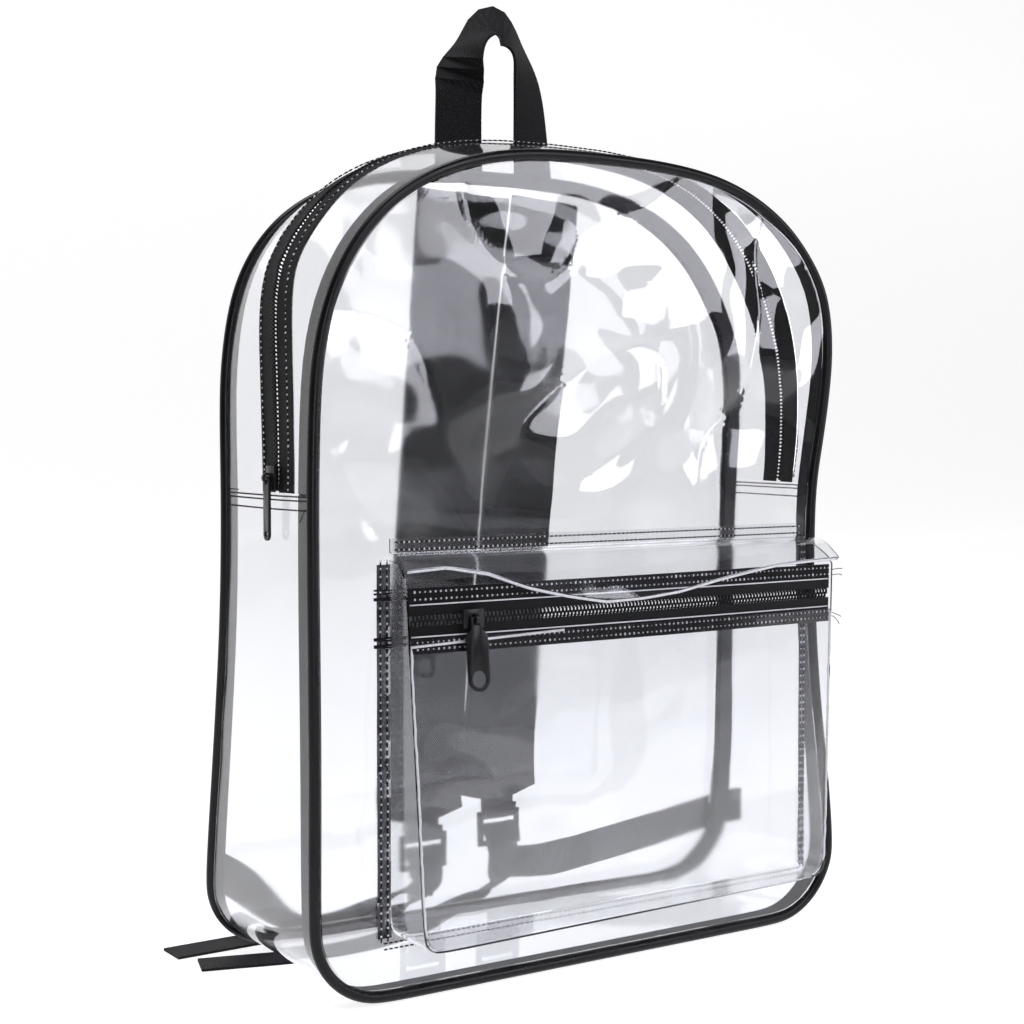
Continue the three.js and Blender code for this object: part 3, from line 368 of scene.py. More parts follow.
def rod(bm, start, end, radius, sides=6):
    """A short round bar with its ends capped."""
    along = end - start
    if along.length < 1e-6:
        return
    turn = along.to_track_quat("Z", "Y").to_matrix().to_4x4()
    bmesh.ops.create_cone(
        bm,
        cap_ends=True,
        segments=sides,
        radius1=radius,
        radius2=radius,
        depth=along.length,
        matrix=Matrix.Translation((start + end) / 2) @ turn,
    )


def walk(points, pitch):
    """Places along a line of points, one pitch apart, with the way it runs."""
    places = []
    left = 0.5 * pitch
    for a, b in zip(points, points[1:]):
        length = (b - a).length
        if length < 1e-7:
            continue
        along = (b - a) / length
        while left <= length:
            places.append((a + along * left, along))
            left += pitch
        left -= length
    return places


def stitch_row(thread, dimples, points, out, pitch=STITCH_PITCH):
    """Sinks a row of stitches into a surface that faces out, with a dimple at each needle hole
    when dimples are given; the dimples are painted whitish as glints.
    """
    for place, along in walk(points, pitch):
        middle = place + out * 0.25 * THREAD_RADIUS
        half = along * pitch * STITCH_SHARE / 2
        rod(thread, middle - half, middle + half, THREAD_RADIUS)
        if dimples is None:
            continue
        hole = place + along * pitch / 2 + out * 0.1 * MM
        turn = out.to_track_quat("Z", "Y").to_matrix().to_4x4()
        squash = Matrix.Diagonal((1.0, 1.0, 0.5, 1.0))
        bmesh.ops.create_icosphere(
            dimples,
            subdivisions=1,
            radius=DIMPLE_RADIUS * (1 + 0.7 * noise.noise(hole * 230)),
            matrix=Matrix.Translation(hole) @ turn @ squash,
        )


def cast_row(tree, starts, direction):
    """The points where rays from some places first meet a surface."""
    points = []
    for start in starts:
        hit = tree.ray_cast(start, direction)[0]
        if hit is not None:
            points.append(hit)
    return points


def evenly(low, high, count):
    """Some numbers at even steps, with both ends."""
    return [low + (high - low) * i / (count - 1) for i in range(count)]


def strip(points, wide, thick, out):
    """A flat strip along a line of points; thick is how far it rises along out."""
    bm = bmesh.new()
    bmesh.ops.create_grid(bm, x_segments=len(points) - 1, y_segments=1, size=0.5)
    for vert in bm.verts:
        place = points[round((vert.co.x + 0.5) * (len(points) - 1))]
        vert.co = place + wide * vert.co.y + out * thick / 2
    bmesh.ops.solidify(bm, geom=bm.faces, thickness=thick)
    for vert in bm.verts:
        vert.co += out * thick / 2
    bmesh.ops.recalc_face_normals(bm, faces=bm.faces)
    return bm


def bead(points, radius, sides=8):
    """A thin round bead along a line of points, with its ends filled."""
    bm = bmesh.new()
    steps = len(points) - 1
    bmesh.ops.create_grid(bm, x_segments=steps, y_segments=sides, size=0.5)
    for vert in bm.verts:
        index = round((vert.co.x + 0.5) * steps)
        along = (points[min(index + 1, steps)] - points[max(index - 1, 0)]).normalized()
        side = along.cross(Y).normalized()
        angle = 2 * math.pi * (vert.co.y + 0.5)
        turned = side * math.cos(angle) + side.cross(along) * math.sin(angle)
        vert.co = points[index] + radius * turned
    bmesh.ops.remove_doubles(bm, verts=bm.verts, dist=1e-7)
    bmesh.ops.holes_fill(bm, edges=bm.edges, sides=0)
    bmesh.ops.recalc_face_normals(bm, faces=bm.faces)
    return bm


# Materials

def new_material(name):
    """A material with its nodes, its links and its main shader."""
    material = bpy.data.materials.new(name)
    material.use_nodes = True
    nodes = material.node_tree.nodes
    return material, nodes, material.node_tree.links, nodes["Principled BSDF"]


def group_tree(name, inputs, outputs):
    """A shader node group with named inputs (name, default) and outputs (name, type)."""
    tree = bpy.data.node_groups.new(name, "ShaderNodeTree")
    tree.interface.new_socket(name="Place", in_out="INPUT", socket_type="NodeSocketVector")
    for label, default in inputs:
        socket = tree.interface.new_socket(
            name=label, in_out="INPUT", socket_type="NodeSocketFloat"
        )
        socket.default_value = default
    for label, kind in outputs:
        tree.interface.new_socket(name=label, in_out="OUTPUT", socket_type=kind)
    return tree, tree.nodes.new("NodeGroupInput"), tree.nodes.new("NodeGroupOutput")


def math_node(tree, operation, first, second=None):
    """A Math node's output; each input is a number or another node's output."""
    node = tree.nodes.new("ShaderNodeMath")
    node.operation = operation
    for socket, value in zip(node.inputs, (first, second)):
        if value is None:
            continue
        if isinstance(value, (int, float)):
            socket.default_value = value
        else:
            tree.links.new(value, socket)
    return node.outputs[0]


def weave_group():
    """Crossed threads: a height for bumps, and a shade for colour that follows it, partly random
    and lighter on the raised threads, darker in the hollows: painted shade.
    """
    if "Weave" in bpy.data.node_groups:
        return bpy.data.node_groups["Weave"]
    tree, source, result = group_tree(
        "Weave",
        [("Pitch", 0.0012), ("Unevenness", 0.25)],
        [("Height", "NodeSocketFloat"), ("Shade", "NodeSocketFloat")],
    )
    split = tree.nodes.new("ShaderNodeSeparateXYZ")
    tree.links.new(source.outputs["Place"], split.inputs[0])
    turns = math_node(tree, "DIVIDE", 2 * math.pi, source.outputs["Pitch"])
    flat = math_node(tree, "ADD", split.outputs["X"], split.outputs["Y"])
    threads = []
    for place in (flat, split.outputs["Z"]):
        phase = math_node(tree, "MULTIPLY", place, turns)
        threads.append(math_node(tree, "SINE", phase))
    crossed = math_node(tree, "MULTIPLY", threads[0], threads[1])
    grain = tree.nodes.new("ShaderNodeTexNoise")
    grain.inputs["Scale"].default_value = 900
    tree.links.new(source.outputs["Place"], grain.inputs["Vector"])
    fuzz = math_node(tree, "MULTIPLY", grain.outputs["Fac"], source.outputs["Unevenness"])
    height = math_node(tree, "ADD", crossed, fuzz)
    # The colour follows the height: painted shade in the hollows between threads
    shade = math_node(tree, "MULTIPLY_ADD", height, 0.5)
    tree.nodes[-1].inputs[2].default_value = 0.5
    tree.links.new(height, result.inputs["Height"])
    tree.links.new(shade, result.inputs["Shade"])
    return tree


def handling_group():
    """Handling marks: cloudy patches and fine lines that make a smooth surface less even."""
    if "Handling" in bpy.data.node_groups:
        return bpy.data.node_groups["Handling"]
    tree, source, result = group_tree(
        "Handling",
        [("Patch size", 14.0), ("Line size", 160.0), ("Low", 0.02), ("High", 0.1)],
        [("Roughness", "NodeSocketFloat"), ("Height", "NodeSocketFloat")],
    )
    patches = tree.nodes.new("ShaderNodeTexNoise")
    patches.inputs["Detail"].default_value = 0
    lines = tree.nodes.new("ShaderNodeTexNoise")
    lines.inputs["Detail"].default_value = 2
    for texture, label in ((patches, "Patch size"), (lines, "Line size")):
        tree.links.new(source.outputs["Place"], texture.inputs["Vector"])
        tree.links.new(source.outputs[label], texture.inputs["Scale"])
    spread = tree.nodes.new("ShaderNodeMapRange")
    spread.inputs["From Min"].default_value = 0.35
    spread.inputs["From Max"].default_value = 0.7
    tree.links.new(patches.outputs["Fac"], spread.inputs["Value"])
    tree.links.new(source.outputs["Low"], spread.inputs["To Min"])
    tree.links.new(source.outputs["High"], spread.inputs["To Max"])
    tree.links.new(spread.outputs["Result"], result.inputs["Roughness"])
    tree.links.new(lines.outputs["Fac"], result.inputs["Height"])
    return tree


def place_group(material, tree, **values):
    """Puts a node group in a material, on Object coordinates, with its own values."""
    node_tree = material.node_tree
    node = node_tree.nodes.new("ShaderNodeGroup")
    node.node_tree = tree
    where = node_tree.nodes.new("ShaderNodeTexCoord")
    node_tree.links.new(where.outputs["Object"], node.inputs["Place"])
    for label, value in values.items():
        node.inputs[label.replace("_", " ")].default_value = value
    return node


def add_bump(material, height, distance, strength):
    """Bends a material's normals by a height."""
    node_tree = material.node_tree
    bump = node_tree.nodes.new("ShaderNodeBump")
    bump.inputs["Distance"].default_value = distance
    bump.inputs["Strength"].default_value = strength
    node_tree.links.new(height, bump.inputs["Height"])
    bsdf = node_tree.nodes["Principled BSDF"]
    node_tree.links.new(bump.outputs["Normal"], bsdf.inputs["Normal"])


def clear_material(settings):
    """Soft clear PVC: it lets light through, and passes it on as shadow without darkening."""
    if "clear_sheet" in bpy.data.materials:
        return bpy.data.materials["clear_sheet"]
    material, nodes, links, bsdf = new_material("clear_sheet")
    bsdf.inputs["Base Color"].default_value = (*settings.tint, 1)
    bsdf.inputs["Transmission Weight"].default_value = 1.0
    bsdf.inputs["IOR"].default_value = 1.53
    marks = place_group(material, handling_group(), Low=0.015, High=0.07, Patch_size=11)
    links.new(marks.outputs["Roughness"], bsdf.inputs["Roughness"])
    passing = nodes.new("ShaderNodeBsdfTransparent")
    passing.inputs["Color"].default_value = (0.9, 0.905, 0.92, 1)
    path = nodes.new("ShaderNodeLightPath")
    mix = nodes.new("ShaderNodeMixShader")
    links.new(path.outputs["Is Shadow Ray"], mix.inputs[0])
    links.new(bsdf.outputs[0], mix.inputs[1])
    links.new(passing.outputs[0], mix.inputs[2])
    links.new(mix.outputs[0], nodes["Material Output"].inputs["Surface"])
    return material


def woven_material(name, colour, pitch=1.2 * MM, depth=0.25 * MM, sheen=0.03):
    """Woven black cloth: tape, webbing and strap."""
    if name in bpy.data.materials:
        return bpy.data.materials[name]
    material, nodes, links, bsdf = new_material(name)
    bsdf.inputs["Sheen Weight"].default_value = sheen
    bsdf.inputs["Sheen Roughness"].default_value = 0.5
    bsdf.inputs["Specular IOR Level"].default_value = 0.2
    weave = place_group(material, weave_group(), Pitch=pitch)
    ramp = nodes.new("ShaderNodeValToRGB")
    ramp.color_ramp.elements[0].color = (*[0.55 * c for c in colour], 1)
    ramp.color_ramp.elements[1].color = (*[1.6 * c for c in colour], 1)
    links.new(weave.outputs["Shade"], ramp.inputs["Fac"])
    links.new(ramp.outputs["Color"], bsdf.inputs["Base Color"])
    marks = place_group(material, handling_group(), Low=0.6, High=0.85)
    links.new(marks.outputs["Roughness"], bsdf.inputs["Roughness"])
    add_bump(material, weave.outputs["Height"], depth, 0.8)
    return material


def smooth_material(name, colour, low, high, metallic=0.0, coat=0.0, bump=0.04 * MM):
    """Moulded, coated or painted black parts."""
    if name in bpy.data.materials:
        return bpy.data.materials[name]
    material, nodes, links, bsdf = new_material(name)
    bsdf.inputs["Metallic"].default_value = metallic
    bsdf.inputs["Coat Weight"].default_value = coat
    bsdf.inputs["Coat Roughness"].default_value = 0.12
    bsdf.inputs["Specular IOR Level"].default_value = 0.22
    marks = place_group(
        material, handling_group(), Low=low, High=high, Patch_size=60, Line_size=700
    )
    links.new(marks.outputs["Roughness"], bsdf.inputs["Roughness"])
    ramp = nodes.new("ShaderNodeValToRGB")
    ramp.color_ramp.elements[0].color = (*colour, 1)
    ramp.color_ramp.elements[1].color = (*[1.9 * c for c in colour], 1)
    links.new(marks.outputs["Height"], ramp.inputs["Fac"])
    links.new(ramp.outputs["Color"], bsdf.inputs["Base Color"])
    add_bump(material, marks.outputs["Height"], bump, 0.5)
    return material


def painted_glint_material():
    """Whitish grey bumps at the needle holes, coated to shine: a painted glint standing in for the
    light that the sewn sheet catches there.
    """
    return smooth_material("needle_dimple", (0.42, 0.42, 0.44), 0.05, 0.2, coat=1.0)


def highlight_edge_material():
    """Light grey coated beads along cut edges and folds of the clear sheets: a painted highlight
    standing in for the light that these edges catch.
    """
    return smooth_material("cut_edge", (0.4, 0.4, 0.42), 0.08, 0.2, coat=0.8)


def painted_shade_seam_material():
    """Several layers of clear sheet sewn together, dark grey with light still coming through: the
    layers are real, and their dark grey is painted shade for the darkening that light takes inside
    them.
    """
    if "sewn_layers" in bpy.data.materials:
        return bpy.data.materials["sewn_layers"]
    material, _, links, bsdf = new_material("sewn_layers")
    bsdf.inputs["Base Color"].default_value = (0.09, 0.09, 0.1, 1)
    bsdf.inputs["Transmission Weight"].default_value = 0.6
    bsdf.inputs["IOR"].default_value = 1.45
    marks = place_group(
        material, handling_group(), Low=0.1, High=0.35, Patch_size=90, Line_size=700
    )
    links.new(marks.outputs["Roughness"], bsdf.inputs["Roughness"])
    add_bump(material, marks.outputs["Height"], 0.3 * MM, 0.8)
    return material


def straight_rays(tree):
    """1 for rays that no surface has thrown back on their way, such as what the camera sees."""
    path = tree.nodes.new("ShaderNodeLightPath")
    thrown = math_node(tree, "ADD", path.outputs["Glossy Depth"], path.outputs["Diffuse Depth"])
    return math_node(tree, "LESS_THAN", thrown, 0.5)


def floor_material():
    """A pale floor, which the sheets mirror as bright near the bag and as dim further in front."""
    material, nodes, links, bsdf = new_material("studio_floor")
    bsdf.inputs["Base Color"].default_value = (0.5, 0.5, 0.5, 1)
    bsdf.inputs["Specular IOR Level"].default_value = 0.0
    bsdf.inputs["Emission Strength"].default_value = 1.0
    where = nodes.new("ShaderNodeTexCoord")
    split = nodes.new("ShaderNodeSeparateXYZ")
    fade = nodes.new("ShaderNodeMapRange")
    fade.inputs["From Min"].default_value = -0.95
    fade.inputs["From Max"].default_value = -0.3
    fade.inputs["To Min"].default_value = 0.08
    fade.inputs["To Max"].default_value = 0.78
    links.new(where.outputs["Object"], split.inputs[0])
    links.new(split.outputs["Y"], fade.inputs["Value"])
    seen = math_node(material.node_tree, "MULTIPLY", straight_rays(material.node_tree), 0.78)
    glow = math_node(material.node_tree, "MAXIMUM", fade.outputs["Result"], seen)
    links.new(glow, bsdf.inputs["Emission Color"])
    marks = place_group(material, handling_group(), Low=0.75, High=0.9, Patch_size=2)
    links.new(marks.outputs["Roughness"], bsdf.inputs["Roughness"])
    return material


# Sheets

def dress_sheet(node, levels, shape, settings):
    """A smooth copy of a sheet, with its folds moved along one direction for both faces."""
    bm = smoothed(node_bmesh(node), levels)
    for vert in bm.verts:
        vert.co += shape(vert.co)
    obj = finished(node + "_sheet", bm, clear_material(settings), replaces=(node,))
    shade_rims(obj)
    return obj


def fade_to_edge(place, low, high, width):
    """1 inside a box's X and Z edges, 0 at them."""
    inside = min(place.x - low.x, high.x - place.x, place.z - low.z, high.z - place.z)
    return max(0.0, min(1.0, inside / width)) ** 1.2


def panel_shape(node, crumple, ripple, from_height, seed):
    """Crumples a panel along Y above a height, and ripples it all over."""
    low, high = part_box(node)
    reach = 0.12 * (high.z - low.z)

    def shape(co):
        place = Vector((co.x, 0, co.z))
        edge = fade_to_edge(co, low, high, 22 * MM)
        upper = max(0.0, min(1.0, (co.z - from_height) / reach))
        folds = 0.65 * ridges(place, 95 * MM, seed) + 0.35 * waves(place, 45 * MM, seed + 1)
        fine = waves(place, 30 * MM, seed + 2)
        return Y * edge * (upper * crumple * folds + ripple * fine)

    return shape


def gusset_shape(ripple, seed):
    """Ripples a gusset outwards in the X-Z plane."""
    centre = (CAD_BOX[0] + CAD_BOX[1]) / 2

    def shape(co):
        out = Vector((co.x - centre.x, 0, co.z - centre.z)).normalized()
        if co.z < 30 * MM:
            return Vector()
        return out * ripple * waves(co, 42 * MM, seed)

    return shape


def flap_shape(ripple):
    """Ripples the flap below its seam, most at its free edge."""
    low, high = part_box("pocket_flap")

    def shape(co):
        drop = max(0.0, (high.z - co.z) / (high.z - low.z) - 0.25)
        return Y * 1.6 * drop * ripple * waves(Vector((co.x, 0, co.z)), 24 * MM, 22)

    return shape


def flap_edge(shape):
    """The line of the flap's free edge."""
    low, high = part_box("pocket_flap")
    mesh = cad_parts["pocket_flap"].data
    line = []
    for x in evenly(low.x + 1 * MM, high.x - 1 * MM, 80):
        cut = Vector((x, 0, low.z - 0.2))
        rim = min(plane_points(mesh, cut, X), key=lambda point: point.z)
        line.append(rim + shape(rim))
    return line


class BACKPACK_OT_sheets(bpy.types.Operator):
    """Makes the clear panels, gussets, front pocket and rain flap"""

    bl_idname = "backpack.sheets"
    bl_label = "Clear sheets"

    def execute(self, context):
        settings = context.scene.backpack_sheets
        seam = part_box("gusset_lower")[1].z
        crumple, ripple = settings.crumple, settings.ripple
        front = panel_shape("front_panel", crumple, ripple, seam - 30 * MM, 1)
        back = panel_shape("back_panel", crumple / 2, ripple, seam, 4)
        dress_sheet("front_panel", 3, front, settings)
        dress_sheet("back_panel", 2, back, settings)
        for index, node in enumerate(("gusset_lower", "gusset_upper_front", "gusset_upper_back")):
            dress_sheet(node, 2, gusset_shape(0.6 * ripple, 10 + index), settings)
        dress_sheet("pocket_front", 3, panel_shape("pocket_front", 0, ripple, seam, 20), settings)
        dress_sheet("pocket_gusset", 2, lambda co: Vector(), settings)
        flap = flap_shape(1.2 * ripple)
        dress_sheet("pocket_flap", 3, flap, settings)
        # The flap's free edge is a bead painted light grey, a highlight line
        edge = bead(flap_edge(flap), 1.5 * EDGE_RADIUS)
        finished("pocket_flap_edge", edge, highlight_edge_material())
        # Beads down both sides of the pocket's front, painted light grey as the highlight along
        # its folds
        mesh = bpy.data.objects["pocket_front_sheet"].data
        low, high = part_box("pocket_front")
        for side, pick in (("left", min), ("right", max)):
            line = []
            for z in evenly(low.z + 8 * MM, high.z - 1 * MM, 40):
                points = plane_points(mesh, Vector((0, 0, z)), Z)
                line.append(pick(points, key=lambda point: point.x) - Y * 0.3 * MM)
            edge = bead(line, 1.3 * EDGE_RADIUS)
            finished("pocket_edge_" + side, edge, highlight_edge_material())
        return {"FINISHED"}


class BACKPACK_OT_piping(bpy.types.Operator):
    """Makes the piping round the front and back seams, and the binding tape inside them"""

    bl_idname = "backpack.piping"
    bl_label = "Piping and binding"

    def execute(self, context):
        trim = context.scene.backpack_trim
        coated = smooth_material("piping_cover", tuple(trim.black), 0.25, 0.4, bump=0.08 * MM)
        tapes = {
            "front": woven_material("binding_front_tape", tuple(trim.black), 1.0 * MM),
            # The back tape takes the dark grey binding colour: painted reflection of the clear
            # sheet over it
            "back": woven_material("binding_back_tape", tuple(trim.binding), 1.0 * MM),
        }
        for side, bound in tapes.items():
            bm = smoothed(node_bmesh("piping_" + side), trim.smoothing, crease=False)
            name = "piping_cord_" + side
            finished(name, bm, coated, replaces=("piping_" + side,))
            node = "binding_" + side
            bm = smoothed(node_bmesh(node), 1)
            tape = finished(node + "_tape", bm, bound, replaces=(node,))
            shade_rims(tape)
        return {"FINISHED"}


# Zips

MAIN_TAPES = ("main_zip_tape_front", "main_zip_tape_back")
POCKET_TAPES = ("pocket_zip_tape_upper", "pocket_zip_tape_lower")
COIL_WIDTH = 4.4 * MM
COIL_HEIGHT = 2.4 * MM


def arch_line(node, count, margin):
    """The middle of a node's section at even turns over the arch, from right to left."""
    low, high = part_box(node)
    centre = Vector(((low.x + high.x) / 2, 0, low.z - 1 * MM))
    line = []
    for angle in evenly(margin, math.pi - margin, count):
        points, along = section(node, centre, angle)
        if points:
            line.append((sum(points, Vector()) / len(points), points, along))
    return line


def teeth(bm, points, across, out, pitch, width=COIL_WIDTH, height=COIL_HEIGHT):
    """The turns of a zip coil: a short bar to each side of the middle line, one after another."""
    for index, (place, _) in enumerate(walk(points, pitch / 2)):
        side = 1 if index % 2 else -1
        wide = across(place)
        rise = out(place)
        a = place - wide * side * 0.12 * width
        b = place + wide * side * 0.5 * width
        rod(bm, a + rise * 0.25 * height, b + rise * 0.25 * height, 0.27 * height, 6)
        rod(bm, b + rise * 0.25 * height, b - rise * 0.3 * height, 0.22 * height, 5)


class BACKPACK_OT_zips(bpy.types.Operator):
    """Makes the tapes and coils of both zips"""

    bl_idname = "backpack.zips"
    bl_label = "Zips"

    def execute(self, context):
        trim = context.scene.backpack_trim
        black = tuple(trim.black)
        woven = woven_material("zip_tape", black, 1.1 * MM)
        nylon = smooth_material("zip_coil", black, 0.55, 0.7)
        for node in (*MAIN_TAPES, *POCKET_TAPES):
            bm = smoothed(node_bmesh(node), 1)
            tape = finished(node + "_cloth", bm, woven, replaces=(node,))
            shade_rims(tape)
        low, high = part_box("main_zip_coil")
        line = [middle for middle, _, _ in arch_line("main_zip_coil", 140, 0.012)]
        hub = Vector(((low.x + high.x) / 2, 0, low.z))
        bm = bmesh.new()
        teeth(
            bm,
            line,
            lambda place: Y,
            lambda place: Vector((place.x - hub.x, 0, place.z - hub.z)).normalized(),
            trim.tooth_pitch,
        )
        finished("main_zip_teeth", bm, nylon, replaces=("main_zip_coil",))
        coil = cast_row(node_tree("pocket_zip_coil"), pocket_zip_starts(0, 50), Y)
        line = [point + Y * COIL_HEIGHT / 2 for point in coil]
        bm = bmesh.new()
        teeth(bm, line, lambda place: Z, lambda place: -Y, trim.tooth_pitch)
        finished("pocket_zip_teeth", bm, nylon, replaces=("pocket_zip_coil",))
        # Edges of the clear strips, painted light grey as highlight lines
        finished("pocket_strip_edges", strip_edges(), highlight_edge_material())
        return {"FINISHED"}


def pocket_zip_middle(share):
    """Height of the pocket zip's middle line at a share of the way across."""
    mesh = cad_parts["pocket_zip_coil"].data
    low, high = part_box("pocket_zip_coil")
    reach = 0.12 * (high.x - low.x)
    ends = []
    for x in (low.x, high.x):
        near = [v.co.z for v in mesh.vertices if abs(v.co.x - x) < reach / 10]
        ends.append((min(near) + max(near)) / 2)
    return ends[0] + (ends[1] - ends[0]) * share


def pocket_zip_starts(offset, count):
    """Places in front of the pocket zip, this many millimetres above its middle line."""
    low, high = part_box("pocket_zip_coil")
    starts = []
    for x in evenly(low.x + 1 * MM, high.x - 1 * MM, count):
        height = pocket_zip_middle((x - low.x) / (high.x - low.x))
        starts.append(Vector((x, low.y - RAY_REACH, height + offset * MM)))
    return starts


def strip_edges():
    """Beads at the cut edges of the clear strips that lie over both tapes of the pocket's zip,
    painted light grey as highlights.
    """
    tapes = node_tree(*POCKET_TAPES)
    edges = bmesh.new()
    for offset in (8.0, -7.6):
        row = cast_row(tapes, pocket_zip_starts(offset, 50), Y)
        joined(edges, bead([point - Y * 0.35 * MM for point in row], 0.7 * EDGE_RADIUS))
    return edges


class BACKPACK_OT_pullers(bpy.types.Operator):
    """Finishes the sliders and their pull tabs"""

    bl_idname = "backpack.pullers"
    bl_label = "Sliders and pull tabs"

    def execute(self, context):
        black = tuple(context.scene.backpack_trim.black)
        paint = smooth_material("black_paint", black, 0.25, 0.4, coat=0.2)
        for zip_name in ("main_zip", "pocket_zip"):
            for part, body in (("slider", "bag"), ("puller", zip_name.split("_")[0] + "_puller")):
                node = f"{zip_name}_{part}"
                bm = bevelled(node, 0.22 * MM, 2)
                name = node + "_paint"
                obj = finished(name, bm, paint, body=body, replaces=(node,))
                shade_rims(obj, MOULDED_RIM_ANGLE)
        return {"FINISHED"}


def part_straps(bm, node):
    """Moves a shoulder strap outwards above its lower end, so that light shows between the two."""
    if not node.startswith("shoulder_strap"):
        return
    side = -1 if node.endswith("left") else 1
    for vert in bm.verts:
        share = max(0.0, min(1.0, (vert.co.z - 0.06) / 0.06))
        vert.co.x += side * share * STRAP_PARTING


class BACKPACK_OT_straps(bpy.types.Operator):
    """Makes the haul loop, shoulder straps and webbing, and finishes the tri-glides"""

    bl_idname = "backpack.straps"
    bl_label = "Straps and webbing"

    def execute(self, context):
        trim = context.scene.backpack_trim
        black = tuple(trim.black)
        strap = woven_material("strap_cloth", black, 1.5 * MM, 0.3 * MM)
        web = woven_material("webbing", black, 1.8 * MM, 0.4 * MM)
        cloths = [("haul_loop", web), ("webbing_left", web), ("webbing_right", web)]
        cloths += [("shoulder_strap_left", strap), ("shoulder_strap_right", strap)]
        for node, material in cloths:
            bm = smoothed(node_bmesh(node), trim.smoothing)
            part_straps(bm, node)
            obj = finished(node + "_cloth", bm, material, replaces=(node,))
            shade_rims(obj)
        plastic = smooth_material("moulded_black", black, 0.35, 0.5)
        for side in ("left", "right"):
            node = "triglide_" + side
            bm = bevelled(node, 0.5 * MM, 3)
            obj = finished(node + "_moulding", bm, plastic, replaces=(node,))
            shade_rims(obj, MOULDED_RIM_ANGLE)
        return {"FINISHED"}


# Stitching

def pocket_bands():
    """Dark grey strips where the pocket's sheets are sewn to the front panel in several layers;
    the grey is painted shade.
    """
    low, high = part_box("pocket_gusset")
    panel = piece_tree("front_panel_sheet")
    bm = bmesh.new()
    for x, wide in ((low.x - 3.4 * MM, 8 * MM), (high.x + 1.8 * MM, 4.6 * MM)):
        heights = evenly(low.z + 2 * MM, high.z - 2 * MM, 30)
        starts = [Vector((x, low.y - RAY_REACH, z)) for z in heights]
        row = [point - Y * 0.1 * MM for point in cast_row(panel, starts, Y)]
        joined(bm, strip(row, X * wide, 0.5 * MM, -Y))
    return bm


def pocket_rows(thread, dimples):
    """Rows along both tapes of the pocket zip and along the top of its rain flap."""
    tapes = node_tree(*POCKET_TAPES)
    for offset in (14.2, 10.6, -10.4, -13.8):
        row = cast_row(tapes, pocket_zip_starts(offset, 40), Y)
        stitch_row(thread, dimples, [point - Y * 0.3 * MM for point in row], -Y, 2.9 * MM)
    low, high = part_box("pocket_flap")
    flap = piece_tree("pocket_flap_sheet")
    for drop in (1.8, 5.6):
        starts = [
            Vector((x, low.y - RAY_REACH, high.z - drop * MM))
            for x in evenly(low.x + 2 * MM, high.x - 2 * MM, 40)
        ]
        stitch_row(thread, dimples, cast_row(flap, starts, Y), -Y, 2.9 * MM)


def pocket_sides(thread, dimples):
    """Double rows down both sides of the pocket and one along its bottom, on the front panel."""
    low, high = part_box("pocket_gusset")
    panel = piece_tree("front_panel_sheet")
    for x in (low.x - 5.4 * MM, low.x - 1.6 * MM, high.x + 0.7 * MM, high.x + 2.9 * MM):
        starts = [Vector((x, low.y - RAY_REACH, z)) for z in evenly(low.z - 1 * MM, high.z, 30)]
        row = [point - Y * 0.7 * MM for point in cast_row(panel, starts, Y)]
        stitch_row(thread, dimples, row, -Y, 3.9 * MM)
    for z in (low.z - 1.2 * MM, low.z - 4.2 * MM):
        starts = [Vector((x, low.y - RAY_REACH, z)) for x in evenly(low.x - 4 * MM, high.x, 30)]
        stitch_row(thread, None, cast_row(panel, starts, Y), -Y, 3.0 * MM)


def side_seams(thread, _):
    """Three rows where the upper gusset is sewn to the lower one, on both sides of the bag."""
    low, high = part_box("gusset_lower")
    gusset = piece_tree("gusset_lower_sheet")
    for side in (-1, 1):
        for drop in (1.6, 3.6, 8.2):
            starts = [
                Vector((side * SIDE_REACH, y, high.z - drop * MM))
                for y in evenly(low.y + 1 * MM, high.y - 1 * MM, 24)
            ]
            row = cast_row(gusset, starts, -side * X)
            stitch_row(thread, None, row, side * X, 2.7 * MM)


def strap_rows(thread, _):
    """Rows along both edges of the shoulder straps, and across their sewn upper ends."""
    for side in ("left", "right"):
        name = f"shoulder_strap_{side}_cloth"
        mesh = bpy.data.objects[name].data
        tree = piece_tree(name)
        low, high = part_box("shoulder_strap_" + side)
        behind = high.y + RAY_REACH
        left, right = [], []
        for z in evenly(low.z + 12 * MM, high.z - 6 * MM, 40):
            xs = [point.x for point in plane_points(mesh, Vector((0, 0, z)), Z)]
            left.append(Vector((min(xs) + 6 * MM, behind, z)))
            right.append(Vector((max(xs) - 6 * MM, behind, z)))
        for starts in (left, right):
            stitch_row(thread, None, cast_row(tree, starts, -Y), Y, 3.4 * MM)
        for drop in (5, 9, 28, 32):
            z = high.z - drop * MM
            xs = [point.x for point in plane_points(mesh, Vector((0, 0, z)), Z)]
            inner = evenly(min(xs) + 6 * MM, max(xs) - 6 * MM, 12)
            starts = [Vector((x, behind, z)) for x in inner]
            stitch_row(thread, None, cast_row(tree, starts, -Y), Y, 3.0 * MM)


def zip_rows(thread, dimples):
    """One row along each tape of the main zip, through the edge of the clear strip."""
    for edge, node in enumerate(MAIN_TAPES):
        row = []
        outs = []
        for middle, points, along in arch_line(node, 90, 0.02):
            ys = sorted(point.y for point in points)
            reach = max(point.dot(along) for point in points)
            flat = middle.dot(along)
            first, last = (0.18, 0.82) if edge else (0.82, 0.18)
            y = first * ys[0] + last * ys[-1]
            place = middle + along * (reach - flat + 0.2 * MM)
            row.append(Vector((place.x, y, place.z)))
            outs.append(along)
        for a, b, out in zip(row, row[1:], outs):
            stitch_row(thread, dimples, [a, b], out, min((b - a).length * 0.99, 3.2 * MM))


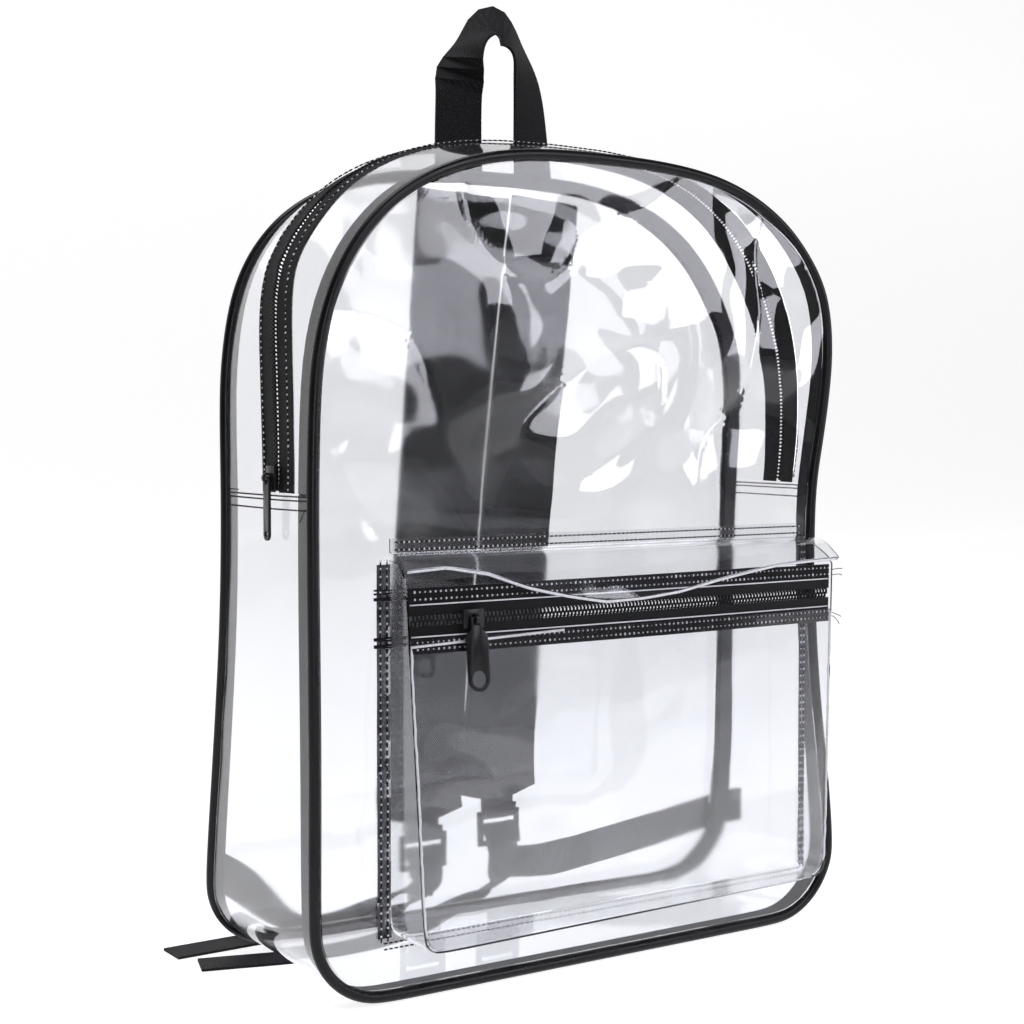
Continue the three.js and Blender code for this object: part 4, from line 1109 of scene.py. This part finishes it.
def bar_tacks(thread, _):
    """Knotted thread ends that cross the side bands where the pocket zip's rows begin and end."""
    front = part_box("pocket_zip_coil")[0].y - RAY_REACH
    low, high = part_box("pocket_gusset")
    panel = piece_tree("front_panel_sheet")
    for edge, share, inner, outer in ((low.x, 0, 1.5, -9.0), (high.x, 1, -1.5, 6.5)):
        for offset in (14.4, 13.0, 10.8, 9.6, -9.2, -10.6, -12.8, -14.0):
            z = pocket_zip_middle(share) + offset * MM
            place = Vector((edge + inner * MM, front, z))
            slant = 0.9 * MM * noise.noise(place * 700)
            far = Vector((edge + outer * MM, front, z + slant))
            row = cast_row(panel, [place, far], Y)
            if len(row) == 2:
                rod(thread, row[0] - Y * 1.2 * MM, row[1] - Y * 0.9 * MM, 1.15 * THREAD_RADIUS)


# Loose ends at the side seams: side of the bag, millimetres below the seam, way and length
LOOSE_ENDS = (
    (1, 2, (0.4, -1, 0.6), 8),
    (1, 5, (0.3, -1, -0.4), 7),
    (-1, 2, (-0.5, -0.8, 0.5), 7),
    (-1, 8, (-0.6, -0.8, -0.5), 8),
    (-1, 2, (-0.6, 0.8, 0.6), 8),
    (-1, 6, (-0.6, 0.8, -0.3), 7),
)


def thread_ends(thread, _):
    """Loose thread ends at the seams and at the ends of the pocket zip."""
    low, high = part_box("gusset_lower")
    zip_low, zip_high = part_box("pocket_zip_coil")
    gusset = piece_tree("gusset_lower_sheet")
    roots = []
    for side, drop, way, length in LOOSE_ENDS:
        y = low.y + 3 * MM if way[1] < 0 else high.y - 5 * MM
        start = Vector((side * SIDE_REACH, y, high.z - drop * MM))
        for root in cast_row(gusset, [start], -side * X):
            roots.append((root, Vector(way), length))
    for x, share, way in ((zip_low.x - 8 * MM, 0, -1), (zip_high.x, 1, 1)):
        for offset in (13, 10, -11, -13):
            root = Vector((x, (zip_high.y if share == 0 else zip_low.y) - 2 * MM, 0))
            root.z = pocket_zip_middle(share) + offset * MM
            roots.append((root, Vector((way, -0.4, 0.03 * offset)), 5 + offset % 3))
    for root, way, length in roots:
        place = root
        way = way.normalized()
        for _ in range(6):
            after = place + way * length * MM / 6
            rod(thread, place, after, 0.55 * THREAD_RADIUS, 5)
            place = after
            way = (way + 0.35 * noise.noise_vector(place * 400) - 0.12 * Z).normalized()


class BACKPACK_OT_stitches(bpy.types.Operator):
    """Sews the seams: rows of black thread, many with a dimple at each needle hole that is painted
    whitish as a glint
    """

    bl_idname = "backpack.stitches"
    bl_label = "Stitching"

    def execute(self, context):
        trim = context.scene.backpack_trim
        sewing = smooth_material("sewing_thread", tuple(trim.black), 0.4, 0.6)
        rows = {
            "pocket_seam": (pocket_rows, pocket_sides, bar_tacks),
            "side_seam": (side_seams, thread_ends),
            "main_zip_seam": (zip_rows,),
            "strap_seam": (strap_rows,),
        }
        # The sewn bands are tinted dark grey as painted shade
        finished("pocket_seam_bands", pocket_bands(), painted_shade_seam_material())
        for name, makers in rows.items():
            thread = bmesh.new()
            dimples = bmesh.new()
            for make in makers:
                make(thread, dimples)
            finished(name + "_thread", thread, sewing)
            if dimples.verts:
                # Whitish dimples: painted glints at the needle holes
                finished(name + "_painted_glints", dimples, painted_glint_material())
            else:
                dimples.free()
        return {"FINISHED"}


class BACKPACK_OT_cut_sizes(bpy.types.Operator):
    """Takes no step: the sheets and straps keep the sizes of the construction model"""

    bl_idname = "backpack.cut_sizes"
    bl_label = "Cut sizes"

    def execute(self, context):
        return {"FINISHED"}


# Studio

# Soft lights: place, width and height in metres, and share of the key light's power
LIGHTS = {
    "key_light": ((1.1, -1.85, 0.98), 0.8, 1.1, 0.38),
    "high_light": ((0.2, -1.9, 1.7), 1.6, 0.5, 0.5),
    "left_light": ((-0.75, -2.0, 0.55), 0.5, 1.2, 0.3),
    "right_light": ((2.1, -1.3, 0.7), 0.6, 1.5, 0.4),
    "top_light": ((-0.2, 0.3, 2.0), 1.2, 0.8, 0.5),
}
LIGHT_AIM = (0, 0, 0.25)

# The floor and the wall behind it, in metres
FLOOR_FRONT = -7
FLOOR_BACK = 2.4
FLOOR_BEND = 1.5
FLOOR_WIDTH = 16
WALL_TOP = 7


def soft_light(name, place, width, height, power):
    """A large area light that is turned to the bag and that the camera doesn't see."""
    light = bpy.data.lights.new(name, "AREA")
    light.shape = "RECTANGLE"
    light.size = width
    light.size_y = height
    light.energy = power
    light.color = (0.93, 0.93, 1.0)
    obj = bpy.data.objects.new(name, light)
    obj.location = place
    obj.rotation_mode = "QUATERNION"
    obj.rotation_quaternion = (Vector(LIGHT_AIM) - Vector(place)).to_track_quat("-Z", "Y")
    obj.visible_camera = False
    bpy.context.scene.collection.objects.link(obj)


def sweep():
    """A floor that rises behind the bag in one curve."""
    bm = bmesh.new()
    steps = 24
    bmesh.ops.create_grid(bm, x_segments=1, y_segments=steps, size=0.5)
    for vert in bm.verts:
        index = round((vert.co.y + 0.5) * steps)
        if index < 2:
            y, z = (FLOOR_FRONT if index == 0 else FLOOR_BACK), 0
        elif index < steps:
            turn = math.pi / 2 * (index - 1) / (steps - 2)
            y = FLOOR_BACK + FLOOR_BEND * math.sin(turn)
            z = FLOOR_BEND - FLOOR_BEND * math.cos(turn)
        else:
            y, z = FLOOR_BACK + FLOOR_BEND, WALL_TOP
        vert.co = Vector((vert.co.x * FLOOR_WIDTH, y, z))
    bmesh.ops.recalc_face_normals(bm, faces=bm.faces)
    return bm


def studio_air(bright, dim):
    """White where the eye looks straight at it, and dim where the sheets mirror it."""
    world = bpy.data.worlds.new("studio_air")
    world.use_nodes = True
    tree = world.node_tree
    air = tree.nodes["Background"]
    air.inputs["Color"].default_value = (1, 1, 1, 1)
    seen = math_node(tree, "MULTIPLY", straight_rays(tree), bright)
    tree.links.new(math_node(tree, "MAXIMUM", seen, dim), air.inputs["Strength"])
    return world


class BACKPACK_OT_studio(bpy.types.Operator):
    """Sets up the camera, the pale floor and the soft lights"""

    bl_idname = "backpack.studio"
    bl_label = "Studio"

    def execute(self, context):
        studio = context.scene.backpack_studio
        camera = bpy.data.cameras.new("camera")
        camera.sensor_width = 36
        camera.lens = studio.lens
        camera.clip_start = 0.05
        camera.clip_end = 60
        eye = bpy.data.objects.new("camera", camera)
        eye.location = studio.eye
        eye.rotation_mode = "QUATERNION"
        sight = Vector(studio.aim) - Vector(studio.eye)
        eye.rotation_quaternion = sight.to_track_quat("-Z", "Y")
        context.scene.collection.objects.link(eye)
        context.scene.camera = eye

        mesh = bpy.data.meshes.new("floor")
        sweep().to_mesh(mesh)
        mesh.materials.append(floor_material())
        for face in mesh.polygons:
            face.use_smooth = True
        link("floor", mesh)
        context.scene.world = studio_air(studio.backdrop, studio.room)
        context.scene.view_settings.view_transform = "Standard"

        for name, (place, width, height, share) in LIGHTS.items():
            soft_light(name, place, width, height, share * studio.key)
        return {"FINISHED"}


class BACKPACK_PT_tools(bpy.types.Panel):
    """Lists the steps that dress the backpack"""

    bl_idname = "BACKPACK_PT_tools"
    bl_label = "Clear backpack"
    bl_space_type = "VIEW_3D"
    bl_region_type = "UI"
    bl_category = "Backpack"

    def draw(self, context):
        scene = context.scene
        for settings in (scene.backpack_sheets, scene.backpack_trim, scene.backpack_studio):
            box = self.layout.box()
            for name in settings.bl_rna.properties.keys():
                if name not in ("name", "rna_type"):
                    box.prop(settings, name)
        for operator in OPERATORS:
            self.layout.operator(operator.bl_idname)


OPERATORS = (
    BACKPACK_OT_studio,
    BACKPACK_OT_sheets,
    BACKPACK_OT_piping,
    BACKPACK_OT_zips,
    BACKPACK_OT_pullers,
    BACKPACK_OT_straps,
    BACKPACK_OT_stitches,
    BACKPACK_OT_cut_sizes,
)
SETTINGS = (SheetSettings, TrimSettings, StudioSettings)
CLASSES = (*SETTINGS, *OPERATORS, BACKPACK_PT_tools)


def register():
    for cls in CLASSES:
        bpy.utils.register_class(cls)
    bpy.types.Scene.backpack_sheets = PointerProperty(type=SheetSettings)
    bpy.types.Scene.backpack_trim = PointerProperty(type=TrimSettings)
    bpy.types.Scene.backpack_studio = PointerProperty(type=StudioSettings)


def unregister():
    del bpy.types.Scene.backpack_sheets
    del bpy.types.Scene.backpack_trim
    del bpy.types.Scene.backpack_studio
    for cls in reversed(CLASSES):
        bpy.utils.unregister_class(cls)


def main():
    register()
    for operator in OPERATORS:
        name = operator.bl_idname.split(".")[1]
        getattr(bpy.ops.backpack, name)()


if __name__ == "__main__":
    main()
